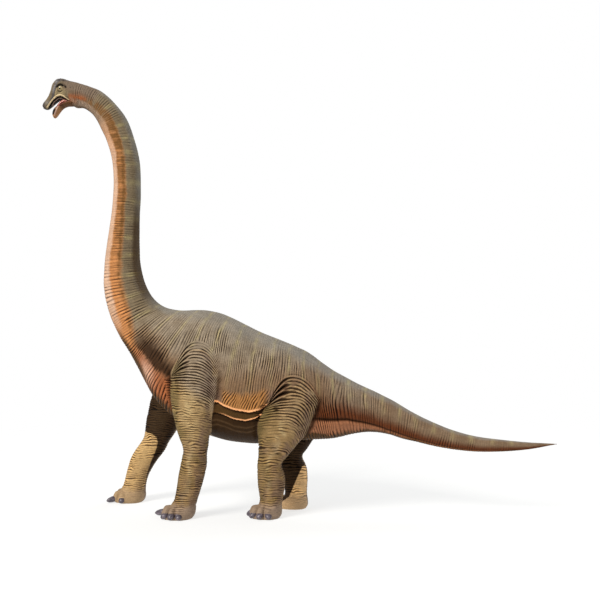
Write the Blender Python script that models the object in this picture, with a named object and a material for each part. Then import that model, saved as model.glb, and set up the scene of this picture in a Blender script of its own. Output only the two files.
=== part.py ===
"""Life-size display model of a brachiosaurus, standing on its own four feet.

The animal looks towards -X, its left side faces -Y and its soles stand on z = 0. Every fleshy
shape is a loft. A row of numbers gives the two outline points of one cross-section in the side
view and its half width, and the rows between are read from a smooth curve through them.
"""
import math

import bmesh
import bpy
import numpy as np
from mathutils import Vector

NAME = "brachiosaurus_model"

# Clearances, in metres, and how round the shapes are.
GAP = 0.0003
GROWTH = 0.00045
BODY_SIDES = 20
HEAD_SIDES = 18
JAW_SIDES = 14
TONGUE_SIDES = 10
LEG_SIDES = 16
FOOT_SIDES = 20
CLAW_SIDES = 6
EYE_SEGMENTS = 10
EYE_RINGS = 6
BODY_FULLNESS = 0.92
LEG_FULLNESS = 0.86
SHARP_ANGLE = math.radians(50)

# From the snout to the tip of the tail. Each length has a number of spans from row to row, and
# its rows: back x, back z, belly x, belly z, half width, and how much wider the section is low
# down than high up. A length starts at the last row of the one before it.
BODY_LENGTHS = (
    ("head", 1, (
        (-7.640, 12.200, -7.605, 12.125, 0.060, 0.00),
        (-7.605, 12.275, -7.510, 12.075, 0.130, 0.00),
        (-7.515, 12.370, -7.400, 12.130, 0.175, 0.00),
        (-7.430, 12.490, -7.300, 12.205, 0.200, 0.05),
        (-7.365, 12.660, -7.195, 12.285, 0.215, 0.10),
        (-7.315, 12.850, -7.080, 12.345, 0.235, 0.15),
        (-7.190, 12.980, -6.960, 12.370, 0.265, 0.20),
        (-7.000, 13.000, -6.860, 12.350, 0.290, 0.20),
        (-6.790, 12.930, -6.740, 12.270, 0.305, 0.12),
        (-6.540, 12.865, -6.600, 12.115, 0.310, 0.05),
        (-6.160, 12.740, -6.350, 12.090, 0.290, 0.00),
    )),
    ("neck_1", 2, (
        (-5.780, 12.570, -6.100, 11.925, 0.300, 0.00),
        (-5.410, 12.240, -5.930, 11.705, 0.320, 0.00),
        (-5.030, 11.745, -5.790, 11.430, 0.340, 0.00),
        (-4.790, 11.105, -5.615, 11.060, 0.350, 0.00),
    )),
    ("neck_2", 2, (
        (-4.635, 10.440, -5.455, 10.480, 0.350, 0.00),
        (-4.595, 9.590, -5.410, 9.660, 0.350, 0.00),
        (-4.620, 8.840, -5.480, 8.880, 0.370, 0.00),
    )),
    ("neck_3", 2, (
        (-4.640, 8.090, -5.600, 8.090, 0.410, 0.00),
        (-4.635, 7.420, -5.695, 7.370, 0.460, 0.00),
        (-4.505, 6.850, -5.695, 6.620, 0.530, 0.00),
    )),
    ("neck_4", 2, (
        (-4.240, 6.370, -5.530, 5.875, 0.610, 0.00),
        (-3.870, 6.075, -5.245, 5.240, 0.730, 0.00),
    )),
    ("neck_5", 2, (
        (-3.440, 5.980, -4.855, 4.650, 0.890, 0.00),
        (-2.930, 5.980, -4.450, 3.945, 1.100, 0.02),
    )),
    ("chest", 2, (
        (-2.530, 5.965, -4.045, 3.260, 1.280, 0.05),
        (-2.110, 5.870, -3.350, 2.690, 1.410, 0.08),
        (-1.680, 5.695, -2.615, 2.320, 1.480, 0.10),
        (-1.260, 5.490, -1.800, 2.105, 1.500, 0.12),
    )),
    ("belly", 2, (
        (-0.780, 5.262, -1.020, 2.055, 1.480, 0.12),
        (-0.300, 5.070, -0.270, 2.115, 1.420, 0.10),
    )),
    ("hips", 2, (
        (0.120, 4.890, 0.320, 2.150, 1.340, 0.08),
        (0.530, 4.680, 0.770, 2.180, 1.210, 0.06),
        (1.010, 4.345, 1.240, 2.215, 1.030, 0.04),
        (1.570, 4.015, 1.710, 2.335, 0.830, 0.02),
    )),
    ("tail_1", 2, (
        (2.180, 3.700, 2.240, 2.425, 0.640, 0.00),
        (2.830, 3.390, 2.770, 2.375, 0.520, 0.00),
    )),
    ("tail_2", 2, (
        (3.410, 3.085, 3.290, 2.215, 0.440, 0.00),
        (4.050, 2.755, 3.870, 2.090, 0.350, 0.00),
    )),
    ("tail_3", 2, (
        (4.680, 2.505, 4.570, 1.960, 0.270, 0.00),
        (5.370, 2.325, 5.310, 1.885, 0.210, 0.00),
    )),
    ("tail_4", 1, (
        (6.110, 2.235, 6.110, 1.900, 0.155, 0.00),
        (6.850, 2.175, 6.850, 1.970, 0.090, 0.00),
        (7.470, 2.155, 7.470, 2.090, 0.032, 0.00),
        (7.670, 2.148, 7.670, 2.122, 0.012, 0.00),
    )),
)

# The mouth's own pieces, from the throat to the tip. Each row is: upper x, upper z, lower x,
# lower z, half width, spread.
LOWER_JAW = (
    (-6.620, 12.360, -6.560, 12.160, 0.260, 0.00),
    (-6.800, 12.320, -6.750, 12.165, 0.250, 0.00),
    (-6.945, 12.255, -6.905, 12.160, 0.220, 0.00),
    (-7.075, 12.205, -7.035, 12.090, 0.200, 0.00),
    (-7.195, 12.155, -7.125, 11.970, 0.185, 0.00),
    (-7.285, 12.070, -7.195, 11.860, 0.160, 0.00),
    (-7.322, 11.950, -7.250, 11.805, 0.110, 0.00),
    (-7.308, 11.855, -7.285, 11.815, 0.040, 0.00),
)
TONGUE = (
    (-6.860, 12.310, -6.870, 12.230, 0.060, 0.00),
    (-6.985, 12.335, -6.970, 12.240, 0.090, 0.00),
    (-7.095, 12.285, -7.060, 12.190, 0.095, 0.00),
    (-7.175, 12.205, -7.125, 12.130, 0.085, 0.00),
    (-7.225, 12.130, -7.190, 12.080, 0.050, 0.00),
)
EYE_CENTRE = (-6.995, 0.245, 12.660)
EYE_RADIUS = 0.062

# The left legs, from the top down. Each row is: front x, front z, rear x, rear z, half width,
# and the distance of the section's centre from the middle of the animal.
FRONT_LEG = (
    ("upper", (
        (-2.720, 4.940, -2.520, 4.940, 0.120, 1.000),
        (-2.990, 4.800, -2.230, 4.800, 0.340, 1.040),
        (-3.220, 4.540, -2.010, 4.540, 0.460, 1.080),
        (-3.370, 4.150, -1.950, 4.200, 0.520, 1.110),
        (-3.385, 3.600, -2.000, 3.650, 0.520, 1.120),
        (-3.345, 3.190, -2.085, 3.190, 0.490, 1.120),
        (-3.275, 2.870, -2.155, 2.850, 0.450, 1.110),
        (-3.170, 2.420, -2.265, 2.420, 0.410, 1.095),
    )),
    ("lower", (
        (-3.050, 2.060, -2.300, 2.080, 0.380, 1.075),
        (-3.045, 1.850, -2.340, 1.840, 0.370, 1.065),
        (-3.115, 1.540, -2.355, 1.540, 0.360, 1.050),
        (-3.190, 1.150, -2.440, 1.150, 0.345, 1.040),
        (-3.260, 0.800, -2.550, 0.800, 0.335, 1.020),
        (-3.320, 0.560, -2.620, 0.570, 0.345, 1.020),
    )),
    ("foot", (
        (-3.420, 0.385, -2.670, 0.370, 0.375, 1.020),
        (-3.580, 0.265, -2.685, 0.200, 0.410, 1.020),
        (-3.685, 0.130, -2.725, 0.070, 0.430, 1.020),
        (-3.590, 0.000, -2.790, 0.000, 0.400, 1.020),
    )),
)
HIND_LEG = (
    ("upper", (
        (0.080, 4.030, 0.300, 4.030, 0.100, 0.920),
        (-0.150, 3.900, 0.570, 3.900, 0.300, 0.940),
        (-0.380, 3.620, 0.800, 3.620, 0.440, 0.960),
        (-0.540, 3.340, 0.870, 3.360, 0.520, 0.970),
        (-0.710, 3.060, 0.750, 3.000, 0.540, 0.950),
        (-0.820, 2.790, 0.640, 2.700, 0.520, 0.910),
        (-0.865, 2.510, 0.480, 2.420, 0.480, 0.860),
        (-0.880, 2.150, 0.260, 2.150, 0.440, 0.810),
    )),
    ("lower", (
        (-0.885, 1.800, -0.030, 1.780, 0.390, 0.760),
        (-0.925, 1.540, -0.215, 1.530, 0.360, 0.730),
        (-0.930, 1.220, -0.135, 1.220, 0.350, 0.710),
        (-0.910, 0.860, -0.135, 0.880, 0.335, 0.690),
        (-0.870, 0.580, -0.200, 0.540, 0.335, 0.690),
    )),
    ("foot", (
        (-0.895, 0.390, -0.220, 0.360, 0.355, 0.690),
        (-1.050, 0.255, -0.215, 0.220, 0.385, 0.690),
        (-1.140, 0.110, -0.230, 0.080, 0.405, 0.690),
        (-1.070, 0.000, -0.285, 0.000, 0.385, 0.690),
    )),
)
# The right legs are the left ones mirrored, then moved along X by a distance that depends on
# the height: the front one swings forward and the hind one back. Each pair is: height, distance.
FRONT_STRIDE = ((0.0, -2.02), (0.7, -2.09), (1.2, -2.04), (2.1, -1.61), (3.3, -1.04), (4.9, -0.30))
HIND_STRIDE = ((0.0, 0.64), (1.6, 0.44), (2.1, 0.38), (4.0, 0.0))
STANDING = ((0.0, 0.0), (1.0, 0.0))
SLOPE_STEP = 0.25
SLANT_SWELL = 2.0

# Claws stand round the front of each foot, at these angles from straight ahead, in degrees,
# counted towards the outer side. The second one of a front foot is the long pointed one.
FRONT_CLAWS = (-76, -28, 34, 72, 104)
HIND_CLAWS = (-38, 24, 66, 104)
LONG_CLAW = 2
CLAW_HEIGHT = 0.155
CLAW_DROP = 0.058
CLAW_LENGTH = 0.180
CLAW_HALF_WIDTH = 0.085
CLAW_HALF_HEIGHT = 0.080
LONG_CLAW_STRETCH = 1.85
CLAW_ROOT = 0.84
# Along a claw: place from root to tip, width and height as shares of those at the root.
CLAW_TAPER = ((0.0, 1.0, 1.0), (0.5, 1.0, 0.95), (0.82, 0.74, 0.68), (1.0, 0.34, 0.28))
TOE_BULGE = 0.085
TOE_SPREAD = math.radians(13)
TOE_TOP = 0.42

HIDE_OLIVE = (0.150, 0.122, 0.078)
HIDE_RUST = (0.330, 0.150, 0.065)
HIDE_KHAKI = (0.235, 0.175, 0.095)
HEAD_OCHRE = (0.230, 0.185, 0.085)
TONGUE_PINK = (0.480, 0.170, 0.130)
EYE_AMBER = (0.420, 0.360, 0.090)
CLAW_GREY = (0.055, 0.048, 0.052)
HIDE_ROUGHNESS = 0.62
WET_ROUGHNESS = 0.18
CLAW_ROUGHNESS = 0.38


def clear_scene():
    """Remove the objects that the scene starts with."""
    for obj in list(bpy.data.objects):
        bpy.data.objects.remove(obj)


def new_collection(name):
    collection = bpy.data.collections.new(name)
    bpy.context.scene.collection.children.link(collection)
    return collection


def paint(obj, colour, roughness):
    """Give an object a Principled material of its own."""
    material = bpy.data.materials.new(obj.name)
    material.use_nodes = True
    shader = material.node_tree.nodes["Principled BSDF"]
    shader.inputs["Base Color"].default_value = (*colour, 1.0)
    shader.inputs["Roughness"].default_value = roughness
    shader.inputs["Metallic"].default_value = 0.0
    obj.data.materials.append(material)


def smooth_rows(rows, spans):
    """The rows, with others between them, on a Catmull-Rom curve. Each span is cut as told."""
    table = np.array(rows, float)
    padded = np.vstack([2 * table[0] - table[1], table, 2 * table[-1] - table[-2]])
    result = []
    for start, parts in enumerate(spans):
        before, first, last, after = padded[start:start + 4]
        for step in range(parts):
            t = step / parts
            result.append(0.5 * (
                2 * first
                + (last - before) * t
                + (2 * before - 5 * first + 4 * last - after) * t ** 2
                + (3 * first - before - 3 * last + after) * t ** 3
            ))
    result.append(table[-1])
    return result


def swelling(angle, toes):
    """How far a foot's rim stands out over its oval, at an angle from straight ahead."""
    return TOE_BULGE * sum(math.exp(-((angle - toe) / TOE_SPREAD) ** 2) for toe in toes)


def section(edge, sides, fullness, centre_y=0.0, spread=0.0, toes=(), toe_share=0.0):
    """Points round one cross-section, which runs from one outline point to the other."""
    near = Vector((edge[0], centre_y, edge[1]))
    far = Vector((edge[2], centre_y, edge[3]))
    middle = (near + far) / 2
    reach = (near - far) / 2
    points = []
    for step in range(sides):
        angle = 2 * math.pi * step / sides
        along = math.copysign(abs(math.cos(angle)) ** fullness, math.cos(angle))
        across = math.copysign(abs(math.sin(angle)) ** fullness, math.sin(angle))
        turned = (angle + math.pi) % (2 * math.pi) - math.pi
        swell = 1 + toe_share * swelling(turned, toes)
        width = edge[4] * across * (1 - spread * along) * swell
        points.append(middle + reach * along * swell + Vector((0, width, 0)))
    return points


def close_gap(sections, first, last):
    """Draw the first and last section in by half a gap, where another solid meets them."""
    for wanted, end, inner in ((first, 0, 1), (last, -1, -2)):
        if not wanted:
            continue
        ring = sections[end]
        quarter = len(ring) // 4
        normal = (ring[0] - ring[len(ring) // 2]).cross(ring[quarter] - ring[-quarter]).normalized()
        inward = sum(sections[inner], Vector()) - sum(ring, Vector())
        shift = normal * math.copysign(GAP / 2, normal.dot(inward))
        sections[end] = [point + shift for point in ring]


def loft(name, sections, collection):
    """A closed solid through a row of sections with equal numbers of points."""
    shape = bmesh.new()
    rings = [[shape.verts.new(point) for point in ring] for ring in sections]
    for ring, following in zip(rings, rings[1:]):
        for step in range(len(ring)):
            after = (step + 1) % len(ring)
            shape.faces.new((ring[step], ring[after], following[after]))
            shape.faces.new((ring[step], following[after], following[step]))
    shape.faces.new(rings[0])
    shape.faces.new(rings[-1])
    bmesh.ops.recalc_face_normals(shape, faces=shape.faces)
    mesh = bpy.data.meshes.new(name)
    shape.to_mesh(mesh)
    shape.free()
    mesh.shade_smooth()
    mesh.set_sharp_from_angle(angle=SHARP_ANGLE)
    obj = bpy.data.objects.new(name, mesh)
    collection.objects.link(obj)
    return obj


def make_cutter(source, collection):
    """A copy of a solid, grown by a little more than the gap, that cuts its neighbours."""
    cutter = bpy.data.objects.new(f"{source.name}_cutter", source.data)
    collection.objects.link(cutter)
    cutter.hide_render = True
    cutter.display_type = "WIRE"
    grow = cutter.modifiers.new("Grow", "DISPLACE")
    grow.direction = "NORMAL"
    grow.mid_level = 0.0
    grow.strength = GROWTH
    return cutter


def cut(obj, cutter):
    boolean = obj.modifiers.new(f"Clear of {cutter.name}", "BOOLEAN")
    boolean.operation = "DIFFERENCE"
    boolean.object = cutter


def body_sections(rows, sides):
    return [section(row[:5], sides, BODY_FULLNESS, spread=row[5]) for row in rows]


def make_body(parts):
    """The head, and the lengths of neck, trunk and tail, each between two shared sections."""
    rows = [row for _, _, length in BODY_LENGTHS for row in length]
    spans = [count for _, count, length in BODY_LENGTHS for _ in length][1:]
    smooth = smooth_rows(rows, spans)
    pieces = {}
    start = 0
    for name, count, length in BODY_LENGTHS:
        end = start + count * (len(length) - (start == 0))
        sections = body_sections(smooth[start:end + 1], HEAD_SIDES if name == "head" else BODY_SIDES)
        close_gap(sections, first=start > 0, last=end < len(smooth) - 1)
        pieces[name] = loft(name, sections, parts)
        start = end
    return pieces


def make_mouth(parts, cutters, pieces):
    """The lower jaw under the throat, and the tongue that lies on it."""
    jaw = loft("lower_jaw", body_sections(LOWER_JAW, JAW_SIDES), parts)
    tongue = loft("tongue", body_sections(TONGUE, TONGUE_SIDES), parts)
    head_cutter = make_cutter(pieces["head"], cutters)
    cut(jaw, head_cutter)
    cut(tongue, head_cutter)
    cut(tongue, make_cutter(jaw, cutters))
    return {"lower_jaw": jaw, "tongue": tongue}


def make_eyes(parts, cutters, head):
    eyes = {}
    for side, sign in (("left", -1), ("right", 1)):
        mesh = bpy.data.meshes.new(f"eye_{side}")
        shape = bmesh.new()
        bmesh.ops.create_uvsphere(shape, u_segments=EYE_SEGMENTS, v_segments=EYE_RINGS,
                                  radius=EYE_RADIUS)
        x, y, z = EYE_CENTRE
        bmesh.ops.translate(shape, verts=shape.verts, vec=(x, sign * y, z))
        shape.to_mesh(mesh)
        shape.free()
        mesh.shade_smooth()
        eye = bpy.data.objects.new(f"eye_{side}", mesh)
        parts.objects.link(eye)
        cut(head, make_cutter(eye, cutters))
        eyes[eye.name] = eye
    return eyes


def leg_edge(row, stride):
    """A leg row's outline points, moved along X by what the stride asks at their heights.

    Where the stride slants the leg, its level section grows, as the leg would bulge there.
    """
    heights, distances = zip(*stride)
    height = (row[1] + row[3]) / 2
    above, below = np.interp((height + SLOPE_STEP, height - SLOPE_STEP), heights, distances)
    growth = math.hypot(1, (above - below) / (2 * SLOPE_STEP)) - 1
    extra = SLANT_SWELL * growth * (row[2] - row[0]) / 2
    front = row[0] - extra + np.interp(row[1], heights, distances)
    rear = row[2] + extra + np.interp(row[3], heights, distances)
    return (front, row[1], rear, row[3], row[4])


def leg_sections(rows, sign, stride, sides, toes=()):
    sections = []
    for row in rows:
        toe_share = min(1.0, max(0.0, 1.0 - row[1] / TOE_TOP))
        angles = [math.radians(sign * toe) for toe in toes]
        sections.append(section(leg_edge(row, stride), sides, LEG_FULLNESS,
                                centre_y=sign * row[5], toes=angles, toe_share=toe_share))
    return sections


def claw_sections(rim, sign, stride, angle, stretch):
    """A claw that leaves the foot's rim at an angle from straight ahead, and droops to its tip."""
    front, _, rear, _, half_width = leg_edge(rim, stride)
    turn = math.radians(sign * angle)
    half_length = abs(front - rear) / 2
    outward = Vector((-math.cos(turn) * half_length, math.sin(turn) * half_width, 0))
    root = Vector(((front + rear) / 2, sign * rim[5], CLAW_HEIGHT)) + outward * CLAW_ROOT
    outward.normalize()
    across = Vector((-outward.y, outward.x, 0))
    sections = []
    for place, width, height in CLAW_TAPER:
        centre = root + (outward * CLAW_LENGTH - Vector((0, 0, CLAW_DROP))) * stretch * place
        ring = []
        for step in range(CLAW_SIDES):
            around = 2 * math.pi * step / CLAW_SIDES
            ring.append(centre + across * (CLAW_HALF_WIDTH * width * math.cos(around))
                        + Vector((0, 0, CLAW_HALF_HEIGHT * height * math.sin(around))))
        sections.append(ring)
    return sections


def make_claws(leg, sign, stride, angles, rim, parts, cutters, foot):
    claws = {}
    for number, angle in enumerate(angles, start=1):
        is_long = leg.startswith("front") and number == LONG_CLAW
        stretch = LONG_CLAW_STRETCH if is_long else 1.0
        sections = claw_sections(rim, sign, stride, angle, stretch)
        claw = loft(f"claw_{leg}_{number}", sections, parts)
        cut(foot, make_cutter(claw, cutters))
        claws[claw.name] = claw
    return claws


def make_leg(leg, lengths, sign, stride, toes, parts, cutters):
    """One leg as an upper part, a lower part and a foot with claws, and a cutter for its pocket."""
    rows = [row for _, length in lengths for row in length]
    pieces = {}
    start = 0
    end = -1
    for name, length in lengths:
        end += len(length)
        is_foot = name == "foot"
        sections = leg_sections(rows[start:end + 1], sign, stride,
                                FOOT_SIDES if is_foot else LEG_SIDES, toes if is_foot else ())
        close_gap(sections, first=start > 0, last=not is_foot)
        label = f"foot_{leg}" if is_foot else f"leg_{leg}_{name}"
        pieces[label] = loft(label, sections, parts)
        start = end
    whole = loft(f"leg_{leg}_whole", leg_sections(rows[:-1], sign, stride, LEG_SIDES), cutters)
    whole.hide_render = True
    whole.display_type = "WIRE"
    pocket = make_cutter(whole, cutters)
    claws = make_claws(leg, sign, stride, toes, rows[-2], parts, cutters, pieces[f"foot_{leg}"])
    return pieces, claws, pocket


def main():
    clear_scene()
    parts = new_collection(NAME)
    cutters = new_collection("cutters")

    body = make_body(parts)
    mouth = make_mouth(parts, cutters, body)
    eyes = make_eyes(parts, cutters, body["head"])

    for leg, lengths, sign, stride, toes, trunk in (
        ("front_left", FRONT_LEG, -1, STANDING, FRONT_CLAWS, ("neck_5", "chest", "belly")),
        ("front_right", FRONT_LEG, 1, FRONT_STRIDE, FRONT_CLAWS, ("neck_5", "chest", "belly")),
        ("hind_left", HIND_LEG, -1, STANDING, HIND_CLAWS, ("belly", "hips")),
        ("hind_right", HIND_LEG, 1, HIND_STRIDE, HIND_CLAWS, ("belly", "hips")),
    ):
        pieces, claws, pocket = make_leg(leg, lengths, sign, stride, toes, parts, cutters)
        for name in trunk:
            cut(body[name], pocket)
        for piece in pieces.values():
            paint(piece, HIDE_KHAKI, HIDE_ROUGHNESS)
        for claw in claws.values():
            paint(claw, CLAW_GREY, CLAW_ROUGHNESS)

    for name, piece in body.items():
        colour = HEAD_OCHRE if name == "head" else HIDE_RUST if name.startswith("neck") else HIDE_OLIVE
        paint(piece, colour, HIDE_ROUGHNESS)
    paint(mouth["lower_jaw"], HEAD_OCHRE, HIDE_ROUGHNESS)
    paint(mouth["tongue"], TONGUE_PINK, WET_ROUGHNESS)
    for eye in eyes.values():
        paint(eye, EYE_AMBER, WET_ROUGHNESS)


main()
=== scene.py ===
"""The looks of a life-size brachiosaurus display model: one folded and painted hide, with eyes,
tongue and claws, on a pale floor.

Lengths are metres. The animal looks towards -X, its left side faces -Y. The outline numbers repeat
those of the solids. A place on the body is given by its station, counted in rows of BODY from the
snout, and by how far down it lies between the back (0) and the belly (1).
"""
import itertools
import math
from contextlib import contextmanager
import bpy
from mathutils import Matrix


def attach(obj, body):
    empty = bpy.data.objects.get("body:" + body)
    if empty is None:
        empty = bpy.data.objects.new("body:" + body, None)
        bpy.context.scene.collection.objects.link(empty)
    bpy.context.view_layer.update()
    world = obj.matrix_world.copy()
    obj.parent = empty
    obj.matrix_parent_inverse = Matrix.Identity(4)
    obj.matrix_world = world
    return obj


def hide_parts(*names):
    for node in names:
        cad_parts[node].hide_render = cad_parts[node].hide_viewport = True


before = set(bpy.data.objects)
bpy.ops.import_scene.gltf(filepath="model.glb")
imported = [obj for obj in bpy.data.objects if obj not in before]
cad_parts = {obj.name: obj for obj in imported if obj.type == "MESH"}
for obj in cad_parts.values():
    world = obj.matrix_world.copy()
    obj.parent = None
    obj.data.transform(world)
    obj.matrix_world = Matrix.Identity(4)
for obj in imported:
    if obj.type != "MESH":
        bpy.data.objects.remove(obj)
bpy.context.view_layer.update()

from types import SimpleNamespace

import bmesh
import bpy
import numpy as np
from mathutils import Vector
from mathutils.bvhtree import BVHTree

# Outline. Body rows: back x, back z, belly x, belly z, half width, how much wider low down.
BODY = np.array((
    (-7.64, 12.2, -7.605, 12.125, 0.06, 0), (-7.605, 12.275, -7.51, 12.075, 0.13, 0),
    (-7.515, 12.37, -7.4, 12.13, 0.175, 0), (-7.43, 12.49, -7.3, 12.205, 0.2, 0.05),
    (-7.365, 12.66, -7.195, 12.285, 0.215, 0.1), (-7.315, 12.85, -7.08, 12.345, 0.235, 0.15),
    (-7.19, 12.98, -6.96, 12.37, 0.265, 0.2), (-7, 13, -6.86, 12.35, 0.29, 0.2),
    (-6.79, 12.93, -6.74, 12.27, 0.305, 0.12), (-6.54, 12.865, -6.6, 12.115, 0.31, 0.05),
    (-6.16, 12.74, -6.35, 12.09, 0.29, 0), (-5.78, 12.57, -6.1, 11.925, 0.3, 0),
    (-5.41, 12.24, -5.93, 11.705, 0.32, 0), (-5.03, 11.745, -5.79, 11.43, 0.34, 0),
    (-4.79, 11.105, -5.615, 11.06, 0.35, 0), (-4.635, 10.44, -5.455, 10.48, 0.35, 0),
    (-4.595, 9.59, -5.41, 9.66, 0.35, 0), (-4.62, 8.84, -5.48, 8.88, 0.37, 0),
    (-4.64, 8.09, -5.6, 8.09, 0.41, 0), (-4.635, 7.42, -5.695, 7.37, 0.46, 0),
    (-4.505, 6.85, -5.695, 6.62, 0.53, 0), (-4.24, 6.37, -5.53, 5.875, 0.61, 0),
    (-3.87, 6.075, -5.245, 5.24, 0.73, 0), (-3.44, 5.98, -4.855, 4.65, 0.89, 0),
    (-2.93, 5.98, -4.45, 3.945, 1.1, 0.02), (-2.53, 5.965, -4.045, 3.26, 1.28, 0.05),
    (-2.11, 5.87, -3.35, 2.69, 1.41, 0.08), (-1.68, 5.695, -2.615, 2.32, 1.48, 0.1),
    (-1.26, 5.49, -1.8, 2.105, 1.5, 0.12), (-0.78, 5.262, -1.02, 2.055, 1.48, 0.12),
    (-0.3, 5.07, -0.27, 2.115, 1.42, 0.1), (0.12, 4.89, 0.32, 2.15, 1.34, 0.08),
    (0.53, 4.68, 0.77, 2.18, 1.21, 0.06), (1.01, 4.345, 1.24, 2.215, 1.03, 0.04),
    (1.57, 4.015, 1.71, 2.335, 0.83, 0.02), (2.18, 3.7, 2.24, 2.425, 0.64, 0),
    (2.83, 3.39, 2.77, 2.375, 0.52, 0), (3.41, 3.085, 3.29, 2.215, 0.44, 0),
    (4.05, 2.755, 3.87, 2.09, 0.35, 0), (4.68, 2.505, 4.57, 1.96, 0.27, 0),
    (5.37, 2.325, 5.31, 1.885, 0.21, 0), (6.11, 2.235, 6.11, 1.9, 0.155, 0),
    (6.85, 2.175, 6.85, 1.97, 0.09, 0), (7.47, 2.155, 7.47, 2.09, 0.032, 0),
    (7.67, 2.148, 7.67, 2.122, 0.012, 0),
))
LOWER_JAW = np.array((
    (-6.62, 12.36, -6.56, 12.16, 0.26, 0), (-6.8, 12.32, -6.75, 12.165, 0.25, 0),
    (-6.945, 12.255, -6.905, 12.16, 0.22, 0), (-7.075, 12.205, -7.035, 12.09, 0.2, 0),
    (-7.195, 12.155, -7.125, 11.97, 0.185, 0), (-7.285, 12.07, -7.195, 11.86, 0.16, 0),
    (-7.322, 11.95, -7.25, 11.805, 0.11, 0), (-7.308, 11.855, -7.285, 11.815, 0.04, 0),
))
TONGUE = np.array((
    (-6.8, 12.35, -6.83, 12.23, 0.075, 0), (-6.955, 12.385, -6.95, 12.25, 0.105, 0),
    (-7.09, 12.305, -7.06, 12.195, 0.1, 0), (-7.175, 12.205, -7.125, 12.13, 0.085, 0),
    (-7.225, 12.13, -7.19, 12.08, 0.05, 0),
))
EYE_CENTRE = np.array((-6.995, 0.245, 12.66))
EYE_RADIUS = 0.062

# Left legs, from the top down: front x, front z, rear x, rear z, half width, centre from mid-plane.
FRONT_LEG = np.array((
    (-2.72, 4.94, -2.52, 4.94, 0.12, 1), (-2.99, 4.8, -2.23, 4.8, 0.34, 1.04),
    (-3.22, 4.54, -2.01, 4.54, 0.46, 1.08), (-3.37, 4.15, -1.95, 4.2, 0.52, 1.11),
    (-3.385, 3.6, -2, 3.65, 0.52, 1.12), (-3.345, 3.19, -2.085, 3.19, 0.49, 1.12),
    (-3.275, 2.87, -2.155, 2.85, 0.45, 1.11), (-3.17, 2.42, -2.265, 2.42, 0.41, 1.095),
    (-3.05, 2.06, -2.3, 2.08, 0.38, 1.075), (-3.045, 1.85, -2.34, 1.84, 0.37, 1.065),
    (-3.115, 1.54, -2.355, 1.54, 0.36, 1.05), (-3.19, 1.15, -2.44, 1.15, 0.345, 1.04),
    (-3.26, 0.8, -2.55, 0.8, 0.335, 1.02), (-3.32, 0.56, -2.62, 0.57, 0.345, 1.02),
    (-3.42, 0.385, -2.67, 0.37, 0.375, 1.02), (-3.58, 0.265, -2.685, 0.2, 0.41, 1.02),
    (-3.685, 0.13, -2.725, 0.07, 0.43, 1.02), (-3.59, 0, -2.79, 0, 0.4, 1.02),
))
HIND_LEG = np.array((
    (0.08, 4.03, 0.3, 4.03, 0.1, 0.92), (-0.15, 3.9, 0.57, 3.9, 0.3, 0.94),
    (-0.38, 3.62, 0.8, 3.62, 0.44, 0.96), (-0.54, 3.34, 0.87, 3.36, 0.52, 0.97),
    (-0.71, 3.06, 0.75, 3, 0.54, 0.95), (-0.82, 2.79, 0.64, 2.7, 0.52, 0.91),
    (-0.865, 2.51, 0.48, 2.42, 0.48, 0.86), (-0.88, 2.15, 0.26, 2.15, 0.44, 0.81),
    (-0.885, 1.8, -0.03, 1.78, 0.39, 0.76), (-0.925, 1.54, -0.215, 1.53, 0.36, 0.73),
    (-0.93, 1.22, -0.135, 1.22, 0.35, 0.71), (-0.91, 0.86, -0.135, 0.88, 0.335, 0.69),
    (-0.87, 0.58, -0.2, 0.54, 0.335, 0.69), (-0.895, 0.39, -0.22, 0.36, 0.355, 0.69),
    (-1.05, 0.255, -0.215, 0.22, 0.385, 0.69), (-1.14, 0.11, -0.23, 0.08, 0.405, 0.69),
    (-1.07, 0, -0.285, 0, 0.385, 0.69),
))
# A right leg is the left one mirrored and moved along X. Each pair is: height, distance.
STANDING = ((0, 0), (1, 0))
FRONT_STRIDE = ((0, -2.02), (0.7, -2.09), (1.2, -2.04), (2.1, -1.61), (3.3, -1.04), (4.9, -0.3))
HIND_STRIDE = ((0, 0.64), (1.6, 0.44), (2.1, 0.38), (4, 0))
SLOPE_STEP = 0.25
SLANT_SWELL = 2.0
BODY_FULLNESS = 0.92
LEG_FULLNESS = 0.86

TOE_BULGE = 0.075
TOE_SPREAD = math.radians(13)
TOE_TOP = 0.38
LONG_CLAW = 2
LONG_CLAW_STRETCH = 1.85
CLAW_HEIGHT = 0.135
CLAW_DROP = 0.058
CLAW_LENGTH = 0.18
CLAW_HALF_WIDTH = 0.096
CLAW_HALF_HEIGHT = 0.094
CLAW_ROOT = 0.84
# How far along the claw, and how wide and how high it still is there.
CLAW_TAPER = ((0, 1, 1), (0.5, 1, 0.95), (0.82, 0.74, 0.68), (1, 0.34, 0.28))

# Folds of a leg, by the height of their crown: how far they sink to its front and rear edge.
FRONT_SAG = (
    (0, 0, 0), (2, 0.02, 0.02), (3, 0.03, 0.14), (3.3, 0.03, 0.28), (3.7, 0.04, 0.44),
    (4.15, 0.05, 0.54), (4.3, 0.2, 0.55), (4.6, 0.55, 0.57), (5, 1.02, 0.6), (6, 1.9, 0.7),
)
HIND_SAG = (
    (0, 0, 0), (1.6, 0.02, 0.04), (2, 0.03, 0.16), (2.4, 0.04, 0.33), (2.8, 0.05, 0.48),
    (3.2, 0.1, 0.58), (3.35, 0.16, 0.6), (3.5, 0.26, 0.61), (3.8, 0.5, 0.62), (4.02, 0.74, 0.63),
    (5, 1.6, 0.7),
)
# How much deeper the hind legs' folds are, by the height of their crown.
HIND_DEPTH = ((0, 0.8), (2.3, 0.8), (2.8, 0.95), (3.3, 1.1), (3.6, 1.5), (5, 1.5))
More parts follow.
